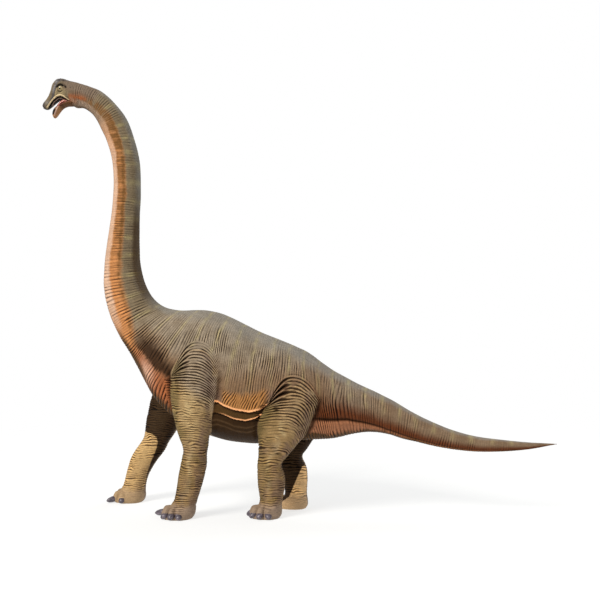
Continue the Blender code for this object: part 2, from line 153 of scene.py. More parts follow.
# Where the painted sunlight on the inner side starts, by height: how far across the leg. The rest of
# the inner side has the body's painted shadow.
FRONT_INNER = (
    (0, 1.2), (0.7, 0.98), (0.84, 0.93), (1.12, 0.86), (1.4, 0.75), (1.7, 0.6), (1.9, 0.42), (2.08, 0),
    (2.17, -0.7), (2.2, -1.5),
)
HIND_INNER = ((0, -1.05), (0.62, -0.17), (1.1, 0.5), (1.26, 0.78), (1.38, 1.5))
# What fore and hind legs have of their own: the height at which they leave the body (arch) and that
# of their highest fold (top), how far to the rear the crowns of the high folds lie (shift), how much
# further apart and deeper the folds are, the side of INNER that has the painted sunlight, and the
# strength of the painted shade in the cleft behind the leg.
FRONT = dict(table=FRONT_LEG, arch=4.15, top=5.0, sag=FRONT_SAG, shift=0.08, apart=1.0,
             deeper=((0, 1), (5, 1)), inner=FRONT_INNER, light_side=-1, rear_cleft=0.6)
HIND = dict(table=HIND_LEG, arch=3.36, top=4.04, sag=HIND_SAG, shift=-0.05, apart=1.22,
            deeper=HIND_DEPTH, inner=HIND_INNER, light_side=1, rear_cleft=1.0)
# The claws lie at these angles round each foot, in degrees outwards from straight ahead.
LEGS = (
    SimpleNamespace(name="front_left", sign=-1, stride=STANDING, claws=(-72, -16, 48, 77, 104), **FRONT),
    SimpleNamespace(name="front_right", sign=1, stride=FRONT_STRIDE, claws=(-76, -38, 30, 70, 104), **FRONT),
    SimpleNamespace(name="hind_left", sign=-1, stride=STANDING, claws=(2, 42, 74, 106), **HIND),
    SimpleNamespace(name="hind_right", sign=1, stride=HIND_STRIDE, claws=(-38, 24, 66, 104), **HIND),
)

# Fineness of the hide: the body's cells and the head's, and the ring where the two are sewn.
BODY_CELL = 0.018
HEAD_CELL = 0.006
SEAM_STATION = 11
SEAM_GAP = 0.01
LOFT_SPANS = 5
BODY_SIDES = 72
LEG_SIDES = 56

# Small maths
RANDOM = np.random.default_rng(7)
SHUFFLED = RANDOM.permutation(256)
GRADIENTS = RANDOM.normal(size=(256, 3))
GRADIENTS /= np.linalg.norm(GRADIENTS, axis=1)[:, None]
NOISE_RANGE = 1.7
SEED_SHIFT = 37.3


def noise(points, size, seed=0):
    """Smooth noise from about -1 to 1, in blobs about as large as size."""
    place = points / size + SEED_SHIFT * seed
    cell = np.floor(place).astype(int)
    part = place - cell
    fade = part ** 3 * (part * (part * 6 - 15) + 10)
    total = np.zeros(len(points))
    for corner in itertools.product((0, 1), repeat=3):
        mixed = 0
        for key in (cell + corner).T:
            mixed = SHUFFLED[(mixed + key) & 255]
        share = np.prod(np.where(corner, fade, 1 - fade), axis=1)
        total += share * ((part - corner) * GRADIENTS[mixed]).sum(axis=1)
    return NOISE_RANGE * total


def unit(value):
    return np.clip(value, 0, 1)


def ramp(value, low, high):
    """0 below low and 1 above high, or the reverse where low is the larger, with soft ends."""
    share = unit((value - low) / (high - low))
    return share * share * (3 - 2 * share)


def hump(value, centre, width):
    return np.exp(-((value - centre) / width) ** 2)


def spot(x, z, centre, radius):
    """1 at a place on the head's side and less round it."""
    return hump(np.hypot(x - centre[0], z - centre[1]), 0, radius)


def between(value, low, high, soft):
    return ramp(value, low - soft, low + soft) * ramp(value, high + soft, high - soft)


def curve(value, table, column=1):
    """Read a table of (place, number, ...) at each value."""
    table = np.array(table)
    return np.interp(value, table[:, 0], table[:, column])


# Lofts
def smooth_rows(table, spans=LOFT_SPANS):
    """Rows on a Catmull-Rom curve through the table's rows."""
    padded = np.vstack([2 * table[0] - table[1], table, 2 * table[-1] - table[-2]])
    result = []
    for start in range(len(table) - 1):
        before, first, last, after = padded[start:start + 4]
        for t in np.arange(spans) / spans:
            result.append(0.5 * (
                2 * first
                + (last - before) * t
                + (2 * before - 5 * first + 4 * last - after) * t ** 2
                + (3 * first - before - 3 * last + after) * t ** 3
            ))
    return np.array([*result, table[-1]])


def circle(sides):
    return 2 * np.pi * np.arange(sides) / sides


def fuller(wave, fullness):
    """A sine or cosine that makes a section squarer than an ellipse."""
    return np.copysign(np.abs(wave) ** fullness, wave)


def rings(rows, sides, fullness, centre_y=0.0, spread=0.0, swell=np.ones((1, 1))):
    """Cross-sections as an array of rows x sides x 3. Side 0 is on the back or front edge."""
    along = fuller(np.cos(circle(sides)), fullness)
    across = fuller(np.sin(circle(sides)), fullness)
    middle = (rows[:, :2] + rows[:, 2:4]) / 2
    reach = (rows[:, :2] - rows[:, 2:4]) / 2
    plan = middle[:, None] + reach[:, None] * (along * swell)[:, :, None]
    width = rows[:, 4, None] * across * (1 - np.reshape(spread, (-1, 1)) * along) * swell
    return np.dstack([plan[:, :, 0], np.reshape(centre_y, (-1, 1)) + width, plan[:, :, 1]])


def body_rings(table, sides=BODY_SIDES, spans=LOFT_SPANS):
    rows = smooth_rows(table, spans)
    return rings(rows, sides, BODY_FULLNESS, spread=rows[:, 5])


def stride_at(height, stride):
    """How far a leg's stride moves a point at this height, with the kinks rounded off."""
    return sum(curve(height + step, stride) for step in (-0.2, -0.1, 0, 0.1, 0.2)) / 5


def leg_edges(rows, stride):
    """A leg's rows, moved by its stride, and drawn out where it slants."""
    height = (rows[:, 1] + rows[:, 3]) / 2
    rise = stride_at(height + SLOPE_STEP, stride) - stride_at(height - SLOPE_STEP, stride)
    growth = np.hypot(1, rise / (2 * SLOPE_STEP)) - 1
    extra = SLANT_SWELL * growth * (rows[:, 2] - rows[:, 0]) / 2
    moved = rows.copy()
    moved[:, 0] += stride_at(rows[:, 1], stride) - extra
    moved[:, 2] += stride_at(rows[:, 3], stride) + extra
    return moved


def sole_of(leg):
    """The middle of a foot, its half length and its half width, just over the ground."""
    front, _, rear, _, half_width, centre = leg_edges(leg.table[-2:-1], leg.stride)[0]
    return (front + rear) / 2, leg.sign * centre, (rear - front) / 2, half_width


def leg_rings(leg):
    rows = leg_edges(smooth_rows(leg.table), leg.stride)
    turned = (circle(LEG_SIDES) + np.pi) % (2 * np.pi) - np.pi
    bulge = sum(TOE_BULGE * hump(turned, math.radians(leg.sign * claw), TOE_SPREAD) for claw in leg.claws)
    share = unit(1 - rows[:, 1] / TOE_TOP)
    return rings(rows, LEG_SIDES, LEG_FULLNESS, centre_y=leg.sign * rows[:, 5],
                 swell=1 + share[:, None] * bulge)


# Meshes
@contextmanager
def edited(mesh):
    """The mesh as a bmesh, which is written back at the end."""
    shape = bmesh.new()
    shape.from_mesh(mesh)
    yield shape
    shape.to_mesh(mesh)
    shape.free()


def ring_faces(count, sides, start=0):
    """Quads between rings, and a face over each end."""
    ring, side = np.meshgrid(np.arange(count - 1), np.arange(sides), indexing="ij")
    a = (start + ring * sides + side).ravel()
    b = (start + ring * sides + (side + 1) % sides).ravel()
    faces = np.column_stack([a, b, b + sides, a + sides]).tolist()
    end = start + count * sides
    return faces + [list(range(start, start + sides)), list(range(end - sides, end))]


def mesh_of(name, shapes):
    """One mesh that holds several closed lofts, which may pass through each other."""
    points, faces = [], []
    for grid in shapes:
        faces += ring_faces(*grid.shape[:2], len(points))
        points += grid.reshape(-1, 3).tolist()
    mesh = bpy.data.meshes.new(name)
    mesh.from_pydata(points, [], faces)
    with edited(mesh) as shape:
        bmesh.ops.recalc_face_normals(shape, faces=shape.faces)
    return mesh


def placed(name, data):
    """A new object of the scene."""
    made = bpy.data.objects.new(name, data)
    bpy.context.scene.collection.objects.link(made)
    return made


def numbers(items, key, size=3, kind=float):
    """One property of all of a mesh's points or edges, as rows of an array."""
    values = np.empty(len(items) * size, kind)
    items.foreach_get(key, values)
    return values.reshape(-1, size)


def set_points(mesh, points):
    mesh.vertices.foreach_set("co", points.ravel())
    mesh.update()


def relax(values, edges, rounds, share):
    """Draw each value towards the mean of its neighbours by its share, a number of times."""
    point, neighbour = np.vstack([edges, edges[:, ::-1]]).T
    count = len(values)
    degree = np.maximum(np.bincount(point, minlength=count), 1)
    columns = values.reshape(count, -1).T.copy()
    for line in columns:
        for _ in range(rounds):
            line += share * (np.bincount(point, line[neighbour], count) / degree - line)
    return columns.T.squeeze()


def voxelled(name, shapes, cell):
    """The outer skin of several closed lofts, as an even mesh."""
    source = placed(name, mesh_of(name, shapes))
    remesh = source.modifiers.new("Skin", "REMESH")
    remesh.mode = "VOXEL"
    remesh.voxel_size = cell
    evaluated = source.evaluated_get(bpy.context.evaluated_depsgraph_get())
    mesh = bpy.data.meshes.new_from_object(evaluated)
    bpy.data.objects.remove(source)
    return mesh


def cut_at(mesh, point, normal):
    """Keep the part of a mesh that lies ahead of a plane, with an open rim."""
    with edited(mesh) as shape:
        everything = shape.verts[:] + shape.edges[:] + shape.faces[:]
        bmesh.ops.bisect_plane(shape, geom=everything, dist=1e-6, plane_co=point, plane_no=normal,
                               clear_inner=True)


def make_skin_mesh(leg_grids):
    """The whole animal as one mesh: fine cells on the head, larger ones elsewhere."""
    back_x, back_z, belly_x, belly_z = BODY[SEAM_STATION, :4]
    centre = Vector((back_x + belly_x, 0, back_z + belly_z)) / 2
    rearward = Vector((back_z - belly_z, 0, belly_x - back_x)).normalized()
    head = voxelled("head_part", [body_rings(BODY[:SEAM_STATION + 3]), body_rings(LOWER_JAW)], HEAD_CELL)
    trunk = voxelled("trunk_part", [body_rings(BODY[SEAM_STATION - 2:])] + leg_grids, BODY_CELL)
    cut_at(head, centre - rearward * SEAM_GAP / 2, -rearward)
    cut_at(trunk, centre + rearward * SEAM_GAP / 2, rearward)
    with edited(head) as shape:
        shape.from_mesh(trunk)
        bmesh.ops.bridge_loops(shape, edges=[edge for edge in shape.edges if edge.is_boundary])
        bmesh.ops.recalc_face_normals(shape, faces=shape.faces)
    return head


class Surface:
    """A loft that can be asked for its nearest point, and for the numbers that go with it."""

    def __init__(self, grid, values=None):
        self.points = grid.reshape(-1, 3)
        quads = np.array(ring_faces(*grid.shape[:2])[:-2])
        self.triangles = np.vstack([quads[:, (0, 1, 2)], quads[:, (0, 2, 3)]])
        self.values = values
        self.find = BVHTree.FromPolygons(self.points.tolist(), self.triangles.tolist()).find_nearest

    def distances(self, points, reach):
        """The distance to each point, or reach where it is further off."""
        found = (self.find(point, reach)[3] for point in points)
        return np.array([reach if distance is None else distance for distance in found])

    def read(self, points):
        """The values at the nearest point, and the distance to it."""
        found = [self.find(point) for point in points]
        place = np.array([hit[0][:] for hit in found])
        corners = self.triangles[[hit[2] for hit in found]].T
        a, b, c = self.points[corners]
        facing = np.cross(b - a, c - a)
        shares = [(np.cross(q - p, place - p) * facing).sum(axis=1) for p, q in ((b, c), (c, a), (a, b))]
        values = np.einsum("kn,knv->vn", np.array(shares) / sum(shares), self.values[corners])
        return values, np.array([hit[3] for hit in found])


# Where each point of the skin lies
JOINT_REACH = 0.22
JOINT_ROUNDS = 60
LEG_REACH = 0.6
COUNT_STEP = 0.02


class Places:
    """Where the skin's points lie on the body. Where they lie on a leg is kept with that leg."""

    def __init__(self, mesh, leg_grids):
        edges = numbers(mesh.edges, "vertices", 2, np.int64)
        points = numbers(mesh.vertices, "co")
        backs, bellies = np.split(smooth_rows(BODY)[:, :4], 2, axis=1)
        self.row_station = np.arange(len(backs)) / LOFT_SPANS
        steps = np.linalg.norm(np.diff((backs + bellies) / 2, axis=0), axis=1)
        self.row_length = np.append(0, np.cumsum(steps))
        down = (1 - fuller(np.cos(circle(BODY_SIDES)), BODY_FULLNESS)) / 2
        values = np.dstack(np.meshgrid(self.row_station, down, indexing="ij")).reshape(-1, 2)
        (self.station, self.down), from_body = Surface(body_rings(BODY), values).read(points)
        self.length = np.interp(self.station, self.row_station, self.row_length)
        self.depth = np.interp(self.station, self.row_station, np.linalg.norm(backs - bellies, axis=1))

        for leg, grid in zip(LEGS, leg_grids):
            leg.distance = Surface(grid).distances(points, LEG_REACH)
            near = np.where(leg.distance < 0.3, from_body / (from_body + leg.distance + 1e-4), 0)
            leg.share = relax(near, edges, 12, 0.5)
        nearest_leg = np.minimum.reduce([leg.distance for leg in LEGS])
        joint = np.exp(-(from_body ** 2 + nearest_leg ** 2) / JOINT_REACH ** 2)
        points = relax(points, edges, 3, 0.5)
        points = relax(points, edges, JOINT_ROUNDS, 0.6 * joint)
        set_points(mesh, points)
        self.points = points
        self.x, self.y, self.z = points.T
        self.normals = numbers(mesh.vertex_normals, "vector")
        self.outward = np.sign(self.y) * self.normals[:, 1]
        self.outer = ramp(self.outward, 0.05, 0.35)
        self.is_head = self.station < SEAM_STATION
        jaw = Surface(body_rings(LOWER_JAW)).distances(points, 0.3)
        self.jaw = np.where(self.is_head, ramp(from_body - jaw, 0.0, 0.02), 0)

        for leg in LEGS:
            height = np.minimum(self.z, leg.arch)
            front = np.interp(height, *leg.table[::-1, (1, 0)].T)
            rear = np.interp(height, *leg.table[::-1, (3, 2)].T)
            leg.half = (rear - front) / 2
            leg.across = (self.x - stride_at(self.z, leg.stride) - (front + rear) / 2) / leg.half
            over = ramp(np.abs(leg.across), 1.02, 0.98) * ramp(self.z, leg.arch + 0.25, leg.arch - 0.15)
            leg.over = over * self.outer * (leg.distance < 0.5)
        self.any_leg = unit(sum(leg.share for leg in LEGS))
        self.over = sum(leg.over for leg in LEGS)

    def noise(self, size, seed):
        return noise(self.points, size, seed)

    def drawn_out(self, stretch):
        """Points for noise that runs down the body, across its length."""
        return np.column_stack([self.length, self.y / stretch, self.down * self.depth / stretch])

    def ring_spacing(self, length):
        return curve(np.interp(length, self.row_length, self.row_station), RING_SPACING)


# Folds
# Rings round the body, by station: the space between two, and how deep they are.
RING_SPACING = (
    (0, 0.045), (10, 0.05), (13, 0.066), (18, 0.074), (20, 0.076), (22, 0.074), (26, 0.072),
    (32, 0.074), (36, 0.07), (40, 0.055), (44, 0.04),
)
RING_DEPTH = (
    (0, 0), (8, 0), (8.9, 0.013), (12, 0.01), (16, 0.011), (19, 0.015), (22, 0.016), (25, 0.02),
    (30, 0.023), (33, 0.019), (36, 0.014), (40, 0.007), (43, 0.001), (44, 0),
)
# The same for a leg, by the height of a fold's crown.
LEG_SPACING = (
    (0, 0.048), (0.8, 0.054), (2, 0.064), (3, 0.07), (3.8, 0.077), (5, 0.082), (6, 0.09),
)
LEG_DEPTH = (
    (0, 0), (0.12, 0.004), (0.3, 0.012), (0.6, 0.026), (0.9, 0.02), (1.35, 0.031), (1.75, 0.021),
    (2.02, 0.03), (2.3, 0.018), (3, 0.019), (3.5, 0.024), (4.1, 0.034), (4.6, 0.034), (5, 0.026),
)
# How sharply a fold sinks towards each edge of a leg, and how far out it still sinks further.
SAG_POWER = (2.1, 2.3)
SAG_LIMIT = (0.99, 1.35)
REAR_WIDENING = 0.07
SLANT_SPACING = 0.078
SLANT_DEPTH = 0.024
CHEST_FINENESS = 1.18
ARC_SHARE = 0.5
FOLD_SHARPNESS = 0.62
BELLY_LIP = (
    (-2.3, 3.4), (-1.927, 3.388), (-1.783, 3.291), (-1.467, 3.181), (-1.055, 3.116), (-0.753, 3.176),
    (-0.474, 3.34), (-0.2, 3.5),
)
LOWER_LIP = (
    (-2.3, 3.02), (-2.013, 3.092), (-1.802, 3.038), (-1.485, 2.914), (-1.169, 2.867), (-0.882, 2.936),
    (-0.633, 3.067), (-0.4, 3.25),
)
BELLY_TOP = (
    (-2.3, 3.9), (-1.774, 3.735), (-1.316, 3.683), (-0.888, 3.659), (-0.518, 3.775), (-0.2, 3.9),
)
# The long crease down each side of the tail, by station.
TAIL_CREASE = (
    (31, 0.73), (33, 0.7), (34, 0.69), (35, 0.76), (36, 0.83), (37, 0.84), (38, 0.86), (44, 0.86),
)
# Where the rings lean round shoulder and hip: station, its width, from and to how far down, turns.
LEANS = ((29.9, 0.9, 0.15, 0.55, 2.0), (26.6, 1.4, 0.04, 0.45, -4.2), (33.2, 0.8, 0.08, 0.5, 1.5))


def belly_span(x):
    """1 along the part of the belly that has lips, and 0 ahead of it and behind it."""
    return ramp(x, -2.75, -2.1) * ramp(x, -0.22, -0.46)


def crease_depth(phase):
    """1 in a crease, which lies at each whole number of the phase, and 0 on a ridge."""
    return 1 - np.abs(np.sin(np.pi * phase)) ** FOLD_SHARPNESS


def turns_along(place, spacing):
    """How many folds lie before each place, where spacing says how far apart they are."""
    steps = np.arange(0, place.max() + COUNT_STEP, COUNT_STEP)
    return np.interp(place, steps, np.cumsum(COUNT_STEP / spacing(steps)))


def crown_of(z, across, leg):
    """The height of the crown of the leg's fold through each point, and how fast it sinks there."""
    shift = leg.shift * ramp(z, leg.arch, leg.arch + 0.4)
    across = across - shift
    ahead = across < 0
    across = across / np.where(ahead, 1 + shift, 1 - shift)
    power = np.where(ahead, *SAG_POWER)
    out = np.minimum(np.abs(across), np.where(ahead, *SAG_LIMIT))
    low, high = z.copy(), z + 1.9
    for _ in range(14):
        crown = (low + high) / 2
        sink = np.where(ahead, curve(crown, leg.sag, 1), curve(crown, leg.sag, 2))
        above = crown - sink * out ** power > z
        high = np.where(above, crown, high)
        low = np.where(above, low, crown)
    return crown, sink * power * out ** (power - 1)


def leg_folds(at, leg):
    """Phase and depth of one leg's folds, where they thin out to every other one, where they run
    long, and the leg's share of each point."""
    z, arch, top = at.z, leg.arch, leg.top
    across = leg.across / (1 + REAR_WIDENING * ramp(z, 2.9, 3.4) * (leg.across > 0))
    crown, sinking = crown_of(z, across, leg)
    over = ramp(z, arch - 1.25, arch - 0.55) * ramp(np.abs(across), 1.3, 1.08) * ramp(at.outward, -0.35, 0.1)
    share = np.maximum(ramp(leg.share, 0.35, 0.65), over * (leg.distance < 0.55))
    share = share * ramp(crown, top + 0.22, top - 0.08)

    bend = 0.5 * at.noise((0.7, 0.7, 0.4), 31) + 0.3 * at.noise((0.24, 0.24, 0.16), 32)
    bend = bend * (0.5 + 0.5 * ramp(crown, arch, arch - 0.6)) * ramp(crown, top + 0.2, top - 0.3)
    phase = turns_along(np.clip(crown, 0, 6), lambda height: curve(height, LEG_SPACING)) / leg.apart + bend
    ahead = ramp(across, 0.0, -0.5)
    tight = np.clip(1.7 / np.hypot(1, sinking / leg.half), 0.45 + 0.4 * ahead, 1)
    cleft = hump(crown, arch - 0.12, 0.2) + ramp(crown, arch + 0.05, arch + 0.3)
    cleft = cleft + 0.9 * hump(crown, arch - 1.27, 0.13) * ramp(across, -0.4, -0.7)
    toe_top = ramp(across, -0.3, -0.7) * ramp(z, 0.54, 0.42)
    depth = curve(crown + (FRONT["arch"] - arch) * ramp(crown, 2.4, 3.0), LEG_DEPTH)
    depth = depth * tight * share * curve(crown, leg.deeper) * (1 - 0.85 * toe_top)
    depth = depth * (1 + 0.85 * cleft * ahead + 0.8 * hump(z, 0.56, 0.1) * ramp(across, 0.8, -0.8))
    arcs = ramp(crown, arch + 0.05, arch + 0.3) * ramp(across, -0.05, -0.45)
    return phase, depth, arcs, 0.8 * ramp(z, arch - 1.0, arch - 0.4), share


def fold_systems(at):
    """Runs of folds, as (name, phase, depth): two sets of rings, which give way to each other here
    and there, finer ones on the chest, three sets on the legs, and slanting ones on the belly."""
    x, z, station, down = at.x, at.z, at.station, at.down
    drawn_out = at.drawn_out(2.6)
    bend = 0.55 * noise(drawn_out, 0.55, 1) + 0.28 * noise(drawn_out, 0.24, 2)
    turns = turns_along(at.length, at.ring_spacing)
    for centre, width, low, high, lean in LEANS:
        turns += lean * hump(station, centre, width) * ramp(down, low, high)
    swap = ramp(noise(drawn_out, 0.42, 3), -0.22, 0.22)
    swell = np.clip(0.8 + 0.85 * noise(drawn_out, 0.17, 4), 0.08, 1.45)
    broad = np.clip(0.95 + 0.6 * at.noise(0.9, 5), 0.45, 1.4)
    front = ramp(down, 0.4, 0.6) * (0.42 - 0.42 * ramp(station, 20.6, 17.4))
    depth = curve(station, RING_DEPTH) * swell * broad * (1 - 0.7 * ramp(down, 0.17, 0.03))
    depth = depth * (0.94 + front) * (1 - 0.65 * ramp(down, 0.7, 0.8) * ramp(station, 20.5, 18.0))
    chest = between(station, 21.2, 28.0, 0.8) * ramp(down, 0.6, 0.72)

    of_legs, share = np.zeros((4, len(z))), np.zeros(len(z))
    for leg in LEGS:
        *found, own = leg_folds(at, leg)
        of_legs = np.where(own > share, found, of_legs)
        share = np.maximum(share, own)
    leg_phase, leg_depth, arcs, long = of_legs
    leg_swap = np.maximum(ramp(at.noise((0.38, 0.38, 0.22), 34), -0.2, 0.2), long)
    leg_swell = 0.8 + 0.95 * at.noise((0.5, 0.5, 0.14), 33) + 0.45 * at.noise(0.15, 35)
    leg_swell = np.clip(leg_swell + 0.2 * ramp(z, 3.2, 4.2), 0.06, 1.65)
    leg_deep = leg_depth * leg_swell * (1 - arcs)

    above_lip = z - curve(x, BELLY_LIP)
    slant = between(x, -2.06, -0.36, 0.1) * between(x, -1.9, -0.5, 0.15) * (1 - ramp(share, 0.2, 0.6))
    slant = slant * ramp(above_lip, -0.01, 0.05) * ramp(curve(x, BELLY_TOP) - z, -0.05, 0.12)
    slant = slant * ramp(np.abs(at.y), 0.8, 1.1)
    slant_depth = SLANT_DEPTH * slant * ramp(above_lip, 0.045, 0.115)
    belly_swell = np.clip(0.8 + 0.9 * at.noise((0.12, 1.0, 0.5), 7), 0.1, 1.5)
    slant_phase = (x - 0.55 * z) / SLANT_SPACING + 1.1 * bend + 0.5 * at.noise(0.25, 6)
    under = belly_span(x) * ramp(above_lip, 0.06, 0.0)
    depth = depth * (1 - ramp(share, 0.05, 0.55)) * (1 - slant) * (1 - 0.85 * under)
    return (("ring", turns + bend, depth * swap * (1 - chest)),
            ("branch", 0.8 * turns + 0.37 - 0.8 * bend, depth * (1 - swap) * (1 - chest)),
            ("fine", CHEST_FINENESS * turns + 1.5 * bend, depth * chest * (0.45 + 0.6 * swap)),
            ("leg", leg_phase, leg_deep * leg_swap),
            ("wrinkle", 0.83 * leg_phase - 0.6 * leg_swell, leg_deep * (1 - leg_swap)),
            ("arc", ARC_SHARE * leg_phase, 1.8 * leg_depth * arcs),
            ("slant", slant_phase, slant_depth * belly_swell))


def large_forms(at):
    """Forms broader than a fold, as heights over the smooth skin."""
    station, down, z = at.station, at.down, at.z
    bare = 1 - ramp(np.maximum(at.any_leg, at.over), 0.15, 0.55)
    height = 0.035 * bare * hump(station, 24.2, 0.5) * hump(down, 0.87, 0.08)
    for leg in LEGS:
        near = at.outer * (leg.distance < 0.45) * (1 - ramp(leg.share, 0.5, 0.8))
        clefts = hump(leg.across, -1.07, 0.07) * between(z, leg.arch - 1.5, leg.arch + 0.1, 0.2)
        clefts += 0.6 * hump(leg.across, 1.07, 0.06) * between(z, leg.arch - 1.2, leg.arch - 0.3, 0.2)
        height -= 0.045 * near * clefts
    for lip, rise, drop in ((BELLY_LIP, 0.04, 0.06), (LOWER_LIP, 0.03, 0.04)):
        above = z - curve(at.x, lip)
        step = np.where(above > 0, rise * np.exp(-above / 0.16), -drop * np.exp(above / 0.1))
        height += belly_span(at.x) * bare * ramp(np.abs(at.y), 0.5, 1.0) * step

    tail = between(station, 31.8, 43.0, 0.6) * bare * curve(station, ((33, 1.0), (38, 0.55), (43, 0.12)))
    crease = curve(station, TAIL_CREASE)
    for rise, place, width in ((-0.05, 0.0, 0.02), (0.035, 0.07, 0.05), (0.02, -0.06, 0.05)):
        height += rise * tail * hump(down - crease, place, width)

    muscle = at.noise(1.1, 8) * 0.02 + at.noise(0.5, 9) * 0.01
    return height + muscle * ramp(station, 12, 20) * ramp(station, 42, 36) + toes(at)


def toes(at):
    """Fleshy toes over the claws, with clefts between them and a fold of skin round each claw."""
    height = 0
    for leg in LEGS:
        x, y, half_length, half_width = sole_of(leg)
        turn = np.degrees(np.arctan2(leg.sign * (at.y - y) / half_width, (x - at.x) / half_length))
        ahead = sum(hump(turn, claw, 10.0) for claw in leg.claws)
        gaps = sum(hump(turn, (a + b) / 2, 5.0) for a, b in zip(leg.claws, leg.claws[1:]))
        knuckle = hump(at.z, 0.27, 0.07) + hump(at.z, 0.02, 0.05)
        own = ramp(at.z, 0.46, 0.26) * (0.04 * ahead * (0.5 + knuckle) - 0.06 * gaps)
        height += leg.share * (own - 0.016 * hump(at.z, 0.37, 0.025) * ramp(turn, 130, 100))
    return height


# Head
LIP_LINE = (
    (-7.66, 12.05), (-7.6, 12.085), (-7.52, 12.075), (-7.464, 12.095), (-7.367, 12.2), (-7.227, 12.35),
    (-7.108, 12.426), (-7.008, 12.445), (-6.89, 12.402), (-6.769, 12.31), (-6.7, 12.255), (-6.6, 12.18),
)
# The middle of the grey patch along the side of the snout: height, x.
SNOUT_PATCH = ((12.1, -7.45), (12.25, -7.34), (12.4, -7.25), (12.66, -7.18), (12.87, -7.115))
MOUTH_CORNER = -6.72
# The inner edge of the lower jaw's tip, where a painted highlight runs (height, x), and its lower edge (x,
# height).
JAW_EDGE = ((11.8, -7.26), (11.87, -7.23), (11.97, -7.18), (12.17, -7.07), (12.3, -7.01))
JAW_BOTTOM = ((-7.33, 11.77), (-7.2, 11.8), (-7.1, 11.87), (-7, 12.02))
EAR = (-6.828, 12.696)
NOSTRIL = (-7.105, 0.115)


def head_forms(at):
    """Brow, lids, nostrils, ear and lips, as heights over the smooth head, and their masks, with one for a
    painted highlight on the gum.
    """
    x, z = at.x, at.z
    head = at.is_head * (1 - at.jaw)
    outward = ramp(np.abs(at.normals[:, 1]), 0.15, 0.5)
    ahead, up = EYE_CENTRE[0] - x, z - EYE_CENTRE[2]
    almond = np.hypot(ahead - 0.25 * up, 1.3 * up)
    away = np.hypot(ahead, up)
    turn = np.degrees(np.arctan2(up, ahead))
    over = ramp(turn, -5, 20) * ramp(turn, 165, 135)
    groove = hump(away, 0.108, 0.03) * over
    pouch = hump(away, 0.104, 0.016) * ramp(turn, -25, -50) * ramp(turn, -150, -125)
    height = 0.014 * hump(almond, 0.06, 0.012) - 0.055 * ramp(almond, 0.053, 0.043)
    height -= 0.008 * hump(almond, 0.084, 0.01)
    height += 0.01 * hump(almond, 0.104, 0.014) * ramp(turn, 20, -30)
    height += 0.026 * hump(away, 0.15, 0.024) * over - 0.022 * groove - 0.01 * pouch
    height += 0.014 * spot(x, z, (-6.74, 12.45), 0.16)

    ear_x, ear_z = x - EAR[0], z - EAR[1]
    ear = hump(np.hypot(0.8 * ear_x + 0.6 * ear_z, 0.45 * (ear_z - 0.75 * ear_x)), 0, 0.026) * outward
    to_nostril = np.hypot(x - NOSTRIL[0], np.abs(at.y) - NOSTRIL[1])
    snout_top = ramp(z, 12.8, 12.88)
    nostril = hump(to_nostril, 0, 0.045) * snout_top
    bridge = hump(x - curve(z, SNOUT_PATCH), 0.08, 0.02) * between(z, 12.26, 12.8, 0.06) * outward
    height = height * outward + 0.01 * hump(to_nostril, 0.075, 0.018) * snout_top
    height += 0.012 * bridge - 0.03 * ear - 0.035 * nostril

    above = z - curve(x, LIP_LINE)
    front = ramp(x, MOUTH_CORNER + 0.05, MOUTH_CORNER - 0.02)
    sides = front * np.maximum(outward, ramp(x, -7.5, -7.58))
    rim = between(above, 0.004, 0.048, 0.01) * sides
    height += 0.016 * rim - 0.012 * ramp(above, 0.002, -0.012) * ramp(above, -0.12, -0.05) * sides
    height += 0.0035 * at.noise(0.05, 11) + 0.0025 * at.noise(0.022, 12)
    masks = {"groove": np.maximum(groove, 0.8 * pouch) * outward, "ear": ear, "nostril": nostril, "rim": rim,
             "gum": ramp(above, 0.003, -0.01) * front, "gum_highlight": hump(above, -0.06, 0.01) * front,
             "lids": ramp(almond, 0.086, 0.068) * outward, "bridge": bridge}
    return height * head, {name: mask * head for name, mask in masks.items()}


# Markings
# Station, and the band's edge towards the back and towards the front, as shares of the way down.
RUST_BAND = (
    (9.2, 0.44, 0.72), (10, 0.45, 0.73), (11, 0.44, 0.75), (12, 0.42, 0.73), (13, 0.38, 0.67),
    (14, 0.39, 0.69), (15, 0.43, 0.73), (16, 0.45, 0.75), (17, 0.44, 0.74), (18, 0.42, 0.75),
    (19, 0.41, 0.75), (20, 0.42, 0.72), (20.6, 0.43, 0.72), (21.6, 0.5, 0.76), (22.2, 0.62, 0.84),
    (23, 0.76, 0.9), (24, 0.73, 0.98), (24.8, 0.69, 0.98), (25.4, 0.66, 0.99), (27, 0.62, 0.99),
)
PALE_BANDS = (10.6, 12.1, 13.3, 14.0, 14.6, 15.2, 15.8, 16.5, 17.2, 17.9, 18.7, 19.6, 20.6, 21.8, 23.2,
              24.4, 25.5, 26.6, 27.7, 28.7, 29.7, 30.7, 31.7, *np.arange(32.6, 41.5, 0.8))
BAND_WIDTH = 0.1


def mouth_corner(at):
    """1 on the red patch that runs back from the corner of the mouth."""
    return between(at.x, -6.74, -6.48, 0.05) * between(at.z, 12.18, 12.49, 0.06)


